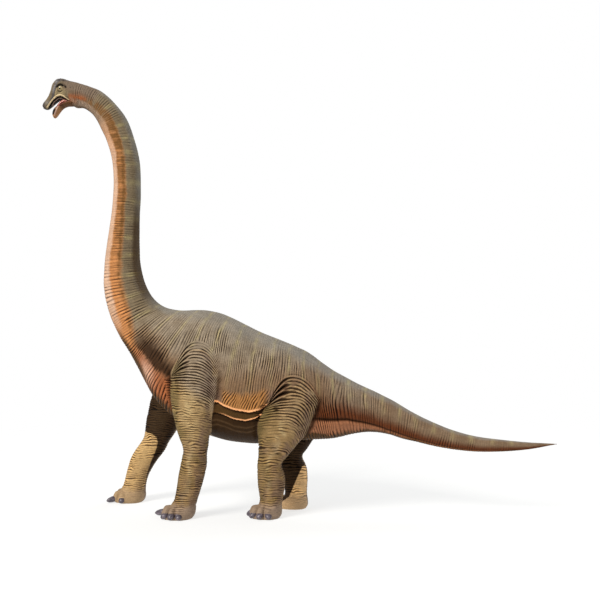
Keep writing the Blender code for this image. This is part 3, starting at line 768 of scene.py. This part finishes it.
def body_zones(at, wander, legs):
    """Painted zones of neck, back and tail, each from 0 to 1."""
    drawn_out = at.drawn_out(3.0)
    fray = wander + 0.022 * noise(drawn_out, 0.05, 29)
    station, plain_down, down = at.station, at.down, at.down + fray
    back_edge, front_edge = curve(station, RUST_BAND, 1), curve(station, RUST_BAND, 2)
    neck = between(station, 9.6, 27.0, 0.5)
    band = neck * ramp(down, back_edge - 0.09, back_edge + 0.09)
    chest = ramp(station, 22.6, 23.8) * ramp(at.x, -3.0, -3.2)
    cream = neck * ramp(down, front_edge - 0.04, front_edge + 0.06) * ramp(station, 22.6, 20.6)
    cheek_red = between(station, 8.7, 10.2, 0.4) * between(down, 0.44, 0.72, 0.07)
    cheek_red = np.maximum(cheek_red, 0.9 * mouth_corner(at))
    flush = hump(station, 9.5, 1.0) * between(down, 0.26, 0.5, 0.1)
    ribs = between(station, 8.6, 12.4, 0.4) * ramp(down, 0.68, 0.8)
    rib_lines = np.sin(2 * np.pi * at.length / 0.105 + 5 * wander) ** 2
    tail = between(station, 31.6, 44.8, 0.5)
    under_crease = plain_down - curve(station, TAIL_CREASE)
    low = between(station, 24.0, 33.5, 1.0) * ramp(at.z + wander, 4.95, 3.8)

    shifted = station + 0.09 * at.noise(0.45, 23)
    pale = np.maximum.reduce([hump(shifted, place, BAND_WIDTH) for place in PALE_BANDS])
    pale *= np.where(station < 22, ramp(down, 0.6, 0.4), ramp(down, 0.62, 0.18))
    pale *= unit(0.55 + 0.7 * at.noise(0.2, 24))

    # Painted shade where the neck meets the shoulder, and a softer brown fringe of it towards the back.
    shade = between(station, 22.9, 26.0, 0.6) * ramp(down, 0.46, 0.62)
    shade_fringe = between(station, 22.4, 26.0, 0.6) * ramp(down, 0.34, 0.54)
    streaks = unit(0.75 + 0.9 * noise(drawn_out, 0.08, 30))
    edge = np.maximum.reduce([between(station, 22.0, 24.4, 0.6) * ramp(plain_down, 0.82, 0.92),
                              between(station, 24.4, 32.5, 0.5) * ramp(plain_down, 0.85, 0.94),
                              0.6 * between(station, 8.6, 22, 1) * ramp(plain_down, 0.93, 0.99)])
    crown_line = between(station, 16.8, 21.2, 0.8) * ramp(plain_down, 0.17, 0.07)
    umber = between(station, 9.8, 14.0, 0.9) + 0.9 * ramp(station, 13.0, 14.5) * ramp(station, 20.5, 17.0)
    umber = band * umber * ramp(down, front_edge + 0.06, front_edge - 0.03)
    rear_rust = neck * between(station, 13, 23.0, 1.0) * hump(down, back_edge + 0.05, 0.05)
    zones = {
        "moss": between(station, 10.5, 22.5, 1.5),
        # Browner low flank and tail, and the brown fringe of the painted shade at the neck base.
        "brown": unit(low + 0.75 * ramp(station, 32.8, 36.0) + 0.7 * shade_fringe),
        "back": ramp(down, 0.16, 0.0) * ramp(station, 9.5, 12),
        "pale": pale * ramp(station, 11.2, 12.5),
        "rust": band * ramp(station, 24.2, 22.6) * ramp(station, 11.5, 14.5),
        "umber": streaks * (umber + rear_rust),
        "russet": np.maximum(tail * ramp(under_crease + fray, -0.48, -0.08), 0.64 * cheek_red),
        "red": unit(cheek_red + (1 - legs) * chest * band),
        # A flush behind the head, and a painted highlight on the chest's bulge.
        "blush": unit(0.35 * flush + 1.2 * chest * hump(station, 24.15, 0.45) * hump(down, 0.85, 0.09)),
        "pink": tail * ramp(under_crease, 0.0, 0.03) * (0.75 + 0.25 * ramp(station, 37, 34)),
        "cream": cream * (1 - ribs) * (1 - 0.6 * ramp(station, 15.5, 13.0)) + 0.9 * ribs * rib_lines,
        "olive": unit(edge + 0.85 * crown_line + tail * ramp(down, 0.85, 0.96)),
        "shade": shade * ramp(down, back_edge + 0.04, back_edge - 0.02),
        # Painted shade in the tail's crease, and dark lines between the pale ribs behind the head.
        "dark": 0.95 * tail * hump(under_crease, -0.01, 0.024) + 0.6 * ribs * (1 - rib_lines),
    }
    return {name: (1 - legs) * zone for name, zone in zones.items()}


def belly_zones(at, wander, legs):
    """The golden belly between the legs, the two lips under it with painted highlights on their edges, and
    painted shade under the lips and on the underside.
    """
    x, z = at.x, at.z
    above, above_low = z - curve(x, BELLY_LIP), z - curve(x, LOWER_LIP)
    to_top = curve(x, BELLY_TOP) + 2.0 * wander + 0.05 * at.noise((0.1, 1, 1), 27) - z
    gold = ramp(to_top, -0.1, 0.18) * ramp(above, -0.01, 0.01) * between(x, -1.82, -0.5, 0.16)
    # The lips' orange edges, painted brighter as highlights.
    lips = np.maximum(between(above, 0.002, 0.058, 0.012),
                      between(above_low, 0.0, 0.04, 0.01) * ramp(x, -2.0, -1.5))
    ends = ramp(x, -1.75, -1.95) + ramp(x, -0.65, -0.45)
    folds = hump(above_low, -0.22, 0.03) + hump(above_low, -0.36, 0.03)
    zones = {
        "gold": gold,
        "lip": lips * ramp(x, -2.55, -2.0) * ramp(x, -0.38, -0.5),
        "pink": 0.8 * hump(above_low, 0.024, 0.03),
        "purple": ramp(above, 0.0, 0.05) * ramp(z, 3.9, 3.6) * ends,
        # Painted shade under the upper lip and on the underside, with a painted shadow line under each lip.
        "olive": ramp(above, 0.0, -0.015) * (1 - 0.3 * folds),
        "dark": (0.75 * ramp(above_low, 0.0, -0.02) * (1 - 0.5 * folds)
                 + 0.8 * hump(above, -0.035, 0.03) + 0.4 * hump(above_low, -0.03, 0.03)),
    }
    span = belly_span(x) * (1 - legs) * ramp(np.abs(at.y), 0.45, 0.9)
    return {name: span * zone for name, zone in zones.items()}


def leg_zones(at, wander, legs):
    """Khaki legs and feet, with painted light and shade: the body's shadow on the inner sides and
    painted sunlight (tan) low on them, shade down the front and rear edges, a highlight down the
    middle, and shade in the clefts round their tops.
    """
    z = at.z + wander
    inward = ramp(-at.outward, -0.1, 0.35)
    patchy = 0.36 * at.noise((0.24, 0.24, 0.48), 28)
    found = []
    for leg in LEGS:
        arch, across = leg.arch, leg.across
        # Painted shade in the clefts where the leg's front and rear edges meet the body.
        front_edge = hump(across, -1.06, 0.07) * between(z, arch - 1.7, arch + 0.12, 0.15)
        rear_edge = leg.rear_cleft * hump(across, 1.06, 0.09) * between(z, arch - 1.0, arch + 0.1, 0.2)
        own = np.maximum(leg.share, leg.over)
        # Painted sunlight low on the inner side lies past the INNER line. The rest of the inner side gets
        # the body's painted shadow.
        past = leg.light_side * (across - curve(z, leg.inner))
        found.append((
            (leg.distance < 0.45) * at.outer * np.maximum(front_edge, rear_edge),
            own * ramp(z + 0.45 * across, arch - 0.8, arch - 0.2),
            leg.share * ramp(past, -0.04, 0.04) * inward,
            own * (leg.arch == HIND["arch"]),
            # Painted shade down the front edge, a painted highlight down the middle, and painted shade down
            # the rear edge.
            own * ramp(across + patchy, -0.22, -1.00),
            own * hump(across + patchy, -0.05, 0.3),
            own * ramp(across + patchy, 0.25, 0.75),
        ))
    cleft, upper, light, hind, front_edge_shade, middle, rear_edge_shade = np.maximum.reduce(found)
    spots = unit(0.6 + 0.9 * at.noise(0.18, 25))
    # Tints at the knees and ankles, and painted shade down the rear edge.
    tint_and_rear_shade = 0.8 * hump(z, 0.42, 0.12) + 0.7 * hump(z, 2.05, 0.22) + 0.5 * hump(z, 1.0, 0.3)
    tint_and_rear_shade += rear_edge_shade + 0.2 * upper + 0.8 * hump(z, 0.68, 0.15)
    blotch = ramp(z, 2.6, 2.1) * np.clip(1.5 * at.noise((0.3, 0.3, 0.48), 36), 0, 0.8)
    zones = {
        "khaki": 1 - 0.88 * upper,
        "shin": np.maximum(ramp(z, 2.35, 1.7), 0.8 * hind) * (1 - inward),
        "straw_highlight": middle * spots * (1 - upper) * ramp(z, 0.35, 0.6) * (1 - 0.5 * inward),
        "moss_green_and_shade": np.maximum(front_edge_shade, 0.75 * blotch) * (1 - light) * ramp(z, 0.35, 0.6),
        "tan": light,
        "sunlit_buff": light * hind,
        "foot": ramp(z, 0.52, 0.3) * (1 - 0.4 * light),
        "purple": unit(tint_and_rear_shade * spots) * (1 - 0.5 * light),
    }
    # Painted shadow of the body on the inner sides above the painted sunlight, and painted shade in the
    # clefts.
    dark = unit(0.97 * legs * inward * (1 - light) * ramp(z, 0.12, 0.3) + 0.9 * cleft)
    return {"dark": dark, **{name: legs * zone for name, zone in zones.items()}}


def head_zones(at, features):
    x, z, station, jaw = at.x, at.z, at.station, at.jaw
    head = at.is_head * (1 - jaw)
    mottle = at.noise(0.06, 26)
    from_patch = x - curve(z, SNOUT_PATCH)
    breadth = 0.034 + 0.036 * ramp(z, 12.4, 12.75)
    patch = hump(from_patch, -0.005, breadth) * ramp(z, 12.1, 12.3)
    # A painted highlight along the snout's grey patch and near its tip.
    snout_highlight = hump(from_patch, -0.025, 0.6 * breadth) * ramp(z, 12.45, 12.62) * unit(0.6 + mottle)
    snout_highlight = snout_highlight + 0.8 * hump(x, -7.44, 0.07) * hump(z, 12.25, 0.06)
    nape = at.is_head * between(station, 7.4, 11.5, 0.5) * ramp(at.down, 0.5, 0.3)
    crest = head * ramp(z, 12.84, 12.93)
    facing_up = ramp(at.normals[:, 2], 0.1, 0.5)
    side = jaw * (1 - facing_up)
    from_edge = x - curve(z, JAW_EDGE)
    # A painted highlight along the jaw's inner edge.
    jaw_edge_highlight = side * hump(from_edge, -0.004, 0.014) * between(z, 11.87, 12.18, 0.03)
    hollow = jaw * ramp(from_edge, -0.02, -0.036) * between(z, 11.9, 12.06, 0.02)
    lower_edge = ramp(z - curve(x, JAW_BOTTOM), 0.04, 0.0)
    dots_and_hollow_shade = 0.8 * spot(x, z, (-6.93, 12.915), 0.035) + 0.6 * spot(x, z, (-6.675, 12.67), 0.02)
    dots_and_hollow_shade = head * (dots_and_hollow_shade + 0.85 * ramp(x, -7.47, -7.54) * ramp(z, 12.16, 12.09))
    # The brow groove, the pouch under the eye, the ear and the nostrils are painted black as shade in these
    # hollows.
    dots_and_hollow_shade += 1.3 * features["groove"] + 1.3 * features["ear"] + 0.9 * features["nostril"]
    return {
        "head": head * ramp(station, 9.6, 8.8) * (1 - 0.85 * mouth_corner(at)),
        "slate": unit(head * patch + 0.55 * crest + 0.8 * head * ramp(x, -7.48, -7.56)),
        "silver_and_highlight": unit(head * snout_highlight + 0.15 * nape + 0.4 * crest * (mottle > 0.2)),
        "nape": at.is_head * between(station, 7.2, 11.0, 0.5) * ramp(at.down, 0.66, 0.46),
        "ochre": unit(0.6 * head * spot(x, z, (-6.96, 12.52), 0.12) + features["lids"]
                      + 0.6 * features["bridge"]),
        "rim": features["rim"] * ramp(x, -7.51, -7.44),
        "inner_lip_highlight": np.maximum(jaw_edge_highlight, 0.5 * features["gum_highlight"]),
        # The lower jaw's side, painted dark brown as shade under the head. Its front is peach.
        "jaw": side,
        "peach": side * ramp(x, -6.99, -7.11) * (1 - lower_edge),
        "maroon": unit(jaw * facing_up + 0.8 * side * hump(x, -7.02, 0.06) * (z > 12.14)),
        "black": unit(dots_and_hollow_shade + features["gum"] * (1 - features["gum_highlight"]) + hollow),
        "wet": unit(features["gum"] + jaw * facing_up),
    }


def markings(at, features):
    """All painted zones. Where several parts give the same zone, the strongest counts."""
    wander = 0.035 * at.noise(0.6, 20) + 0.02 * at.noise(0.16, 21)
    legs = np.maximum(ramp(at.any_leg, 0.3, 0.6), unit(at.over))
    parts = [make(at, wander, legs) for make in (body_zones, belly_zones, leg_zones)]
    zones = {}
    for part in (*parts, head_zones(at, features)):
        for name, values in part.items():
            zones[name] = np.maximum(zones.get(name, 0), values)
    return zones


# Materials
HIDE_GREY = (0.315, 0.26, 0.195)
HIDE_DUN = (0.232, 0.184, 0.132)
PAINT = (
    # zone, colour, how much of the zone it covers
    ("moss", (0.17, 0.128, 0.072), 0.75),
    # Browner low flank and tail, and a brown fringe of painted shade at the neck base.
    ("brown", (0.21, 0.122, 0.064), 0.85),
    ("back", (0.255, 0.245, 0.22), 0.65),
    ("khaki", (0.385, 0.258, 0.117), 0.92),
    ("shin", (0.292, 0.182, 0.076), 0.78),
    # A painted highlight down the middle of each leg.
    ("straw_highlight", (0.56, 0.43, 0.225), 0.55),
    # Olive blotches, and painted shade down each leg's front edge.
    ("moss_green_and_shade", (0.125, 0.092, 0.03), 0.75),
    ("pale", (0.5, 0.43, 0.2), 0.45),
    ("rust", (0.56, 0.24, 0.085), 0.92),
    ("umber", (0.19, 0.088, 0.026), 0.85),
    ("russet", (0.11, 0.026, 0.005), 0.94),
    ("gold", (0.38, 0.175, 0.055), 0.92),
    ("red", (0.34, 0.108, 0.038), 0.92),
    # A flush behind the head, and a painted highlight on the chest's bulge.
    ("blush", (0.64, 0.4, 0.29), 0.8),
    ("pink", (0.4, 0.17, 0.085), 0.92),
    ("cream", (0.64, 0.44, 0.32), 0.85),
    # Painted sunlight low on the legs' inner sides, brighter on the hind legs in the next zone.
    ("tan", (0.56, 0.37, 0.165), 0.9),
    ("sunlit_buff", (0.98, 0.64, 0.3), 0.96),
    # Tints at knees, ankles and the belly's ends, and painted shade down each leg's rear edge.
    ("purple", (0.165, 0.105, 0.085), 0.6),
    ("foot", (0.33, 0.245, 0.185), 0.85),
    ("head", (0.165, 0.125, 0.072), 0.9),
    ("nape", (0.165, 0.112, 0.074), 0.85),
    ("slate", (0.066, 0.064, 0.078), 0.92),
    # Pale grey mottles, and a painted highlight on the snout.
    ("silver_and_highlight", (0.3, 0.285, 0.27), 0.75),
    # Dark edges along the neck and the tail's underside, and painted shade under the belly's upper lip.
    ("olive", (0.07, 0.034, 0.007), 0.95),
    ("shade", (0.036, 0.015, 0.005), 0.93),
    # Painted shade on the lower jaw's side, under the head.
    ("jaw", (0.14, 0.062, 0.022), 0.96),
    ("peach", (0.48, 0.24, 0.11), 0.92),
    ("ochre", (0.48, 0.38, 0.2), 0.88),
    ("rim", (0.86, 0.68, 0.41), 0.96),
    # Painted highlights along the jaw's inner edge and on the gum.
    ("inner_lip_highlight", (0.8, 0.56, 0.5), 0.9),
    ("maroon", (0.09, 0.022, 0.018), 0.95),
    # Painted shade under the belly, on the legs' inner sides, in clefts and in the tail's crease, and dark
    # lines between the neck's ribs.
    ("dark", (0.024, 0.01, 0.003), 0.97),
    # The belly lips' orange edges, painted brighter as highlights.
    ("lip", (1.000, 0.49, 0.225), 0.98),
    # Black marks, the gum, and painted shade in the brow groove, ear and nostrils.
    ("black", (0.006, 0.005, 0.004), 0.98),
)
FOLD_NAMES = ("ring", "branch", "fine", "leg", "wrinkle", "arc", "slant")
FOLD_SCALE = 0.02
# Painted shade in the creases of the folds, and a painted highlight on their ridges.
CREASE_SHADE_TINT = (0.11, 0.075, 0.065)
RIDGE_HIGHLIGHT_TINT = (1.6, 1.55, 1.45)


class Nodes:
    """A short way to write the node tree of a material or a world."""

    def __init__(self, owner):
        owner.use_nodes = True
        self.owner, self.tree = owner, owner.node_tree

    def add(self, kind, *values, settings=None, **inputs):
        """A node with its settings, its first inputs fed in order, and others fed by name."""
        node = self.tree.nodes.new("ShaderNode" + kind)
        for key, value in (settings or {}).items():
            setattr(node, key, value)
        for socket, value in zip(node.inputs, values):
            self.feed(socket, value)
        self.feed_all(node, inputs)
        return node

    def feed(self, socket, value):
        if isinstance(value, bpy.types.NodeSocket):
            self.tree.links.new(value, socket)
        else:
            socket.default_value = (*value, 1.0) if isinstance(value, tuple) else value

    def feed_all(self, node, inputs):
        for key, value in inputs.items():
            self.feed(node.inputs[key.replace("_", " ")], value)

    def maths(self, operation, *values, clamp=False):
        return self.add("Math", *values, settings={"operation": operation, "use_clamp": clamp}).outputs[0]

    def times(self, first, second):
        return self.maths("MULTIPLY", first, second)

    def scaled(self, value, scale, start):
        return self.maths("MULTIPLY_ADD", value, scale, start)

    def mix(self, factor, first, second, blend="MIX"):
        node = self.add("Mix", factor, settings={"data_type": "RGBA", "blend_type": blend})
        for socket, value in zip(node.inputs[6:8], (first, second)):
            self.feed(socket, value)
        return node.outputs[2]

    def attribute(self, name):
        return self.add("Attribute", settings={"attribute_name": name}).outputs["Fac"]

    def spread(self, value, low, high):
        """Stretch a value so that low gives 0 and high gives 1."""
        settings = {"interpolation_type": "SMOOTHSTEP"}
        return self.add("MapRange", value, low, high, settings=settings).outputs["Result"]

    def place(self):
        return self.add("TexCoord").outputs["Object"]

    def noise(self, place, scale, detail=4.0, roughness=0.6, distortion=0.0):
        return self.add("TexNoise", Vector=place, Scale=scale, Detail=detail, Roughness=roughness,
                        Distortion=distortion).outputs["Fac"]

    def pebbles(self, place, scale, feature):
        settings = {"feature": feature}
        return self.add("TexVoronoi", Vector=place, Scale=scale, settings=settings).outputs["Distance"]

    def bump(self, relief, strength):
        return self.add("Bump", Strength=strength, Distance=1.0, Height=relief).outputs["Normal"]

    def shade(self, **inputs):
        self.feed_all(self.tree.nodes["Principled BSDF"], inputs)
        return self.owner

    def blend(self, factor, first, second, output):
        """Mix two shaders, and send the mixture to the output node."""
        mixed = self.add("MixShader", factor, first, second).outputs[0]
        self.feed(self.tree.nodes[output].inputs["Surface"], mixed)


def painted(nodes, place):
    """The hide's own colour with the painted zones laid over it, one after another."""
    blotches = nodes.spread(nodes.noise(place, 2.2, 5.0), 0.35, 0.65)
    colour = nodes.mix(blotches, HIDE_DUN, HIDE_GREY)
    for zone, paint, cover in PAINT:
        colour = nodes.mix(nodes.times(nodes.attribute(zone), cover), colour, paint)
    return colour


def fold_shape(nodes):
    """How deep each point lies in its folds, and how far it stands on a ridge."""
    crease = ridge = 0.0
    for name in FOLD_NAMES:
        depth = nodes.attribute(f"{name}_depth")
        wave = nodes.maths("SINE", nodes.times(nodes.attribute(f"{name}_phase"), math.pi))
        wave = nodes.maths("ABSOLUTE", wave)
        low = nodes.maths("SUBTRACT", 1.0, nodes.maths("POWER", wave, FOLD_SHARPNESS))
        crease = nodes.scaled(low, depth, crease)
        ridge = nodes.scaled(nodes.maths("POWER", wave, 3.0), depth, ridge)
    return crease, ridge


def hide_material():
    nodes = Nodes(bpy.data.materials.new("hide"))
    place = nodes.place()
    grain = nodes.noise(place, 26.0, 6.0, 0.7)
    patches = nodes.spread(nodes.noise(place, 5.5, 5.0, 0.65, 0.6), 0.36, 0.66)
    speckle = nodes.spread(grain, 0.3, 0.72)
    crease, ridge = fold_shape(nodes)
    # Painted shade deepest in the creases and a painted highlight on the ridges, laid over the colour.
    crease_shade_share = nodes.spread(nodes.maths("DIVIDE", crease, FOLD_SCALE), 0.06, 0.75)
    ridge_highlight_share = nodes.maths("DIVIDE", ridge, 1.4 * FOLD_SCALE, clamp=True)
    pebble = nodes.spread(nodes.pebbles(place, 34.0, "DISTANCE_TO_EDGE"), 0.0, 0.16)
    pebble_rim = nodes.maths("SUBTRACT", 1.0, pebble)
    colour = painted(nodes, place)
    for share, tint in (
        (0.3, nodes.mix(patches, (0.62, 0.6, 0.58), (1.15, 1.12, 1.05))),
        (0.4, nodes.mix(speckle, (0.55, 0.5, 0.46), (1.2, 1.18, 1.14))),
        (ridge_highlight_share, RIDGE_HIGHLIGHT_TINT),
        (nodes.times(crease_shade_share, 0.9), CREASE_SHADE_TINT),
        (nodes.times(pebble_rim, 0.25), (0.25, 0.2, 0.16)),
    ):
        colour = nodes.mix(share, colour, tint, "MULTIPLY")

    relief = nodes.scaled(pebble, 0.003, nodes.times(grain, 0.006))
    relief = nodes.scaled(crease, -0.6, relief)
    rough = nodes.scaled(grain, 0.3, 0.42)
    rough = nodes.maths("MULTIPLY_ADD", nodes.attribute("wet"), -0.36, rough, clamp=True)
    return nodes.shade(Base_Color=colour, Roughness=rough, Normal=nodes.bump(relief, 0.75),
                       Specular_IOR_Level=0.07)


def claw_material():
    nodes = Nodes(bpy.data.materials.new("claw_horn"))
    place = nodes.place()
    streaks = nodes.noise(place, 9.0, 6.0, 0.7, 1.5)
    colour = nodes.mix(nodes.spread(streaks, 0.35, 0.68), (0.032, 0.026, 0.033), (0.165, 0.132, 0.16))
    scuffs = nodes.spread(nodes.noise(place, 45.0, 5.0), 0.6, 0.75)
    colour = nodes.mix(nodes.times(scuffs, 0.35), colour, (0.26, 0.225, 0.19))
    relief = nodes.times(nodes.noise(place, 60.0, 4.0), 0.004)
    return nodes.shade(Base_Color=colour, Roughness=nodes.scaled(streaks, 0.3, 0.22),
                       Normal=nodes.bump(relief, 0.5))


def tongue_material():
    nodes = Nodes(bpy.data.materials.new("tongue_flesh"))
    place = nodes.place()
    blush = nodes.noise(place, 14.0, 4.0)
    colour = nodes.mix(nodes.spread(blush, 0.35, 0.65), (0.42, 0.12, 0.085), (0.64, 0.3, 0.22))
    relief = nodes.times(nodes.pebbles(place, 110.0, "F1"), 0.0035)
    return nodes.shade(Base_Color=colour, Roughness=nodes.scaled(blush, 0.2, 0.12),
                       Normal=nodes.bump(relief, 0.5))


def eye_material():
    """Dark pupil, streaked yellow-green iris with a dark rim, and a pale rest. The attribute
    gaze is the angle from the direction in which the eye looks, in radians."""
    nodes = Nodes(bpy.data.materials.new("eye_ball"))
    gaze = nodes.attribute("gaze")
    streaks = nodes.noise(nodes.place(), 160.0, 3.0)
    iris = nodes.mix(streaks, (0.23, 0.19, 0.05), (0.52, 0.43, 0.17))
    iris = nodes.mix(nodes.spread(gaze, 0.66, 0.78), iris, (0.03, 0.026, 0.012))
    iris = nodes.mix(nodes.spread(gaze, 0.56, 0.52), iris, (0.002, 0.002, 0.002))
    colour = nodes.mix(nodes.spread(gaze, 0.8, 0.86), iris, (0.48, 0.4, 0.26))
    return nodes.shade(Base_Color=colour, Roughness=nodes.scaled(streaks, 0.04, 0.03),
                       Coat_Weight=0.6, Coat_Roughness=0.02)


# Pieces
FLESH = (
    ["head", "lower_jaw", "chest", "belly", "hips"]
    + [f"neck_{n}" for n in range(1, 6)]
    + [f"tail_{n}" for n in range(1, 5)]
    + [f"leg_{leg.name}_{part}" for leg in LEGS for part in ("upper", "lower")]
    + [f"foot_{leg.name}" for leg in LEGS]
)
TONGUE_SIDES = 40
CLAW_SIDES = 28


def set_attribute(mesh, name, values):
    layer = mesh.attributes.new(name, "FLOAT", "POINT")
    layer.data.foreach_set("value", np.asarray(values, np.float32))


def dressed(name, mesh, material):
    """A smooth piece of one material, which rides on the part's one body."""
    mesh.shade_smooth()
    mesh.materials.append(material)
    piece = placed(name, mesh)
    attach(piece, "root")
    return piece


def make_skin():
    leg_grids = [leg_rings(leg) for leg in LEGS]
    mesh = make_skin_mesh(leg_grids)
    at = Places(mesh, leg_grids)
    systems = fold_systems(at)
    head_height, features = head_forms(at)
    height = large_forms(at) + head_height
    for name, phase, depth in systems:
        height -= depth * crease_depth(phase)
        set_attribute(mesh, f"{name}_phase", phase)
        set_attribute(mesh, f"{name}_depth", depth)
    for name, values in markings(at, features).items():
        set_attribute(mesh, name, values)
    moved = at.points + at.normals * (height * ramp(at.z, 0.0, 0.1))[:, None]
    flat = (moved[:, 2] < 0) | (moved[:, 2] < 0.012) & (at.normals[:, 2] < -0.6)
    moved[flat, 2] = 0.0
    set_points(mesh, moved)
    skin = dressed("skin", mesh, hide_material())
    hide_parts(*FLESH)


def make_eyes():
    material = eye_material()
    for side, sign in (("left", -1), ("right", 1)):
        mesh = bpy.data.meshes.new(f"eyeball_{side}")
        gaze = Vector((-0.18, sign, -0.36)).normalized()
        with edited(mesh) as shape:
            bmesh.ops.create_icosphere(shape, subdivisions=5, radius=EYE_RADIUS)
            angles = [v.co.angle(gaze) for v in shape.verts]
            bmesh.ops.translate(shape, verts=shape.verts, vec=EYE_CENTRE * (1, sign, 1))
        set_attribute(mesh, "gaze", angles)
        eye = dressed(f"eyeball_{side}", mesh, material)
        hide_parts(f"eye_{side}")


def make_tongue():
    grid = body_rings(TONGUE, TONGUE_SIDES, 8)
    from_middle = (circle(TONGUE_SIDES) + np.pi) % (2 * np.pi) - np.pi
    grid[:, :, 2] -= 0.012 * hump(from_middle, 0, 0.35)
    tongue = dressed("tongue_piece", mesh_of("tongue_piece", [grid]), tongue_material())
    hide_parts("tongue")


def claw_grid(leg, angle, stretch):
    """The rings of a claw that grows out of a foot and droops towards its tip."""
    x, y, half_length, half_width = sole_of(leg)
    turn = math.radians(leg.sign * angle)
    outward = np.array((-math.cos(turn) * half_length, math.sin(turn) * half_width, 0))
    root = np.array((x, y, CLAW_HEIGHT)) + outward * CLAW_ROOT
    outward /= np.linalg.norm(outward)
    across, up = np.array((-outward[1], outward[0], 0)), np.array((0, 0, 1))
    round_angle = circle(CLAW_SIDES)[:, None]
    return np.array([
        root + outward * CLAW_LENGTH * stretch * place - up * CLAW_DROP * place
        + across * CLAW_HALF_WIDTH * width * np.cos(round_angle)
        + up * CLAW_HALF_HEIGHT * height * np.sin(round_angle)
        for place, width, height in smooth_rows(np.array(CLAW_TAPER), 8)
    ])


def make_claws():
    material = claw_material()
    for leg in LEGS:
        for number, angle in enumerate(leg.claws, start=1):
            is_long = leg.name.startswith("front") and number == LONG_CLAW
            grid = claw_grid(leg, angle, LONG_CLAW_STRETCH if is_long else 1.0)
            name = f"horn_{leg.name}_{number}"
            claw = dressed(name, mesh_of(name, [grid]), material)
            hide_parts(f"claw_{leg.name}_{number}")


# Stage
PHOTO_PIXELS = 600
FOCAL_PIXELS = 943.0
SENSOR = 36.0
CAMERA_DISTANCE = 27.9
CAMERA_HEIGHT = 6.28
CAMERA_TURN = math.radians(6.0)
CAMERA_AIM_X = 0.235
EVEN_LIGHT = 0.5
FLOOR_GLOW = 0.68
KEY_WATTS = 46000.0
RIM_WATTS = 10500.0


def make_camera():
    data = bpy.data.cameras.new("camera")
    data.sensor_width = SENSOR
    data.lens = FOCAL_PIXELS / PHOTO_PIXELS * SENSOR
    data.clip_end = 500.0
    camera = placed("camera", data)
    camera.location = (CAMERA_AIM_X + CAMERA_DISTANCE * math.sin(CAMERA_TURN),
                       -CAMERA_DISTANCE * math.cos(CAMERA_TURN), CAMERA_HEIGHT)
    camera.rotation_euler = (math.pi / 2, 0.0, CAMERA_TURN)
    bpy.context.scene.camera = camera
    bpy.context.scene.view_settings.view_transform = "Standard"


def make_floor():
    """A pale floor with faint shadows, which fades into the pale surroundings."""
    mesh = bpy.data.meshes.new("floor")
    with edited(mesh) as shape:
        bmesh.ops.create_circle(shape, cap_ends=True, segments=96, radius=60.0)
    nodes = Nodes(bpy.data.materials.new("floor_pale"))
    away = nodes.add("VectorMath", nodes.place(), settings={"operation": "LENGTH"}).outputs["Value"]
    clear = nodes.add("BsdfTransparent").outputs[0]
    shader = nodes.tree.nodes["Principled BSDF"].outputs[0]
    nodes.blend(nodes.spread(away, 9.0, 24.0), shader, clear, "Material Output")
    mesh.materials.append(nodes.shade(Base_Color=(0.28, 0.28, 0.277), Roughness=0.9,
                                      Emission_Color=(1.0, 1.0, 0.99), Emission_Strength=FLOOR_GLOW))
    floor = placed("floor", mesh)


def make_world():
    """White behind the animal, and a weaker even light from all round."""
    world = bpy.data.worlds.new("studio")
    nodes = Nodes(world)
    even = nodes.tree.nodes["Background"]
    nodes.feed_all(even, {"Color": (0.96, 0.98, 1.0), "Strength": EVEN_LIGHT})
    backdrop = nodes.add("Background", (1.0, 1.0, 1.0))
    seen = nodes.add("LightPath").outputs["Is Camera Ray"]
    nodes.blend(seen, even.outputs[0], backdrop.outputs[0], "World Output")
    bpy.context.scene.world = world


def area_light(name, place, aim, size, watts, colour):
    data = bpy.data.lights.new(name, "AREA")
    data.size = size
    data.energy = watts
    data.color = colour
    light = placed(name, data)
    light.location = place
    light.rotation_euler = (Vector(aim) - Vector(place)).to_track_quat("-Z", "Y").to_euler()


def main():
    make_camera()
    make_floor()
    make_world()
    area_light("key", (-34.0, -42.0, 46.0), (-1.0, 0.0, 5.0), 22.0, KEY_WATTS, (1.0, 0.97, 0.92))
    area_light("rim", (28.0, 28.0, 40.0), (0.0, 0.0, 4.0), 24.0, RIM_WATTS, (0.93, 0.96, 1.0))
    make_skin()
    make_tongue()
    make_eyes()
    make_claws()


main()
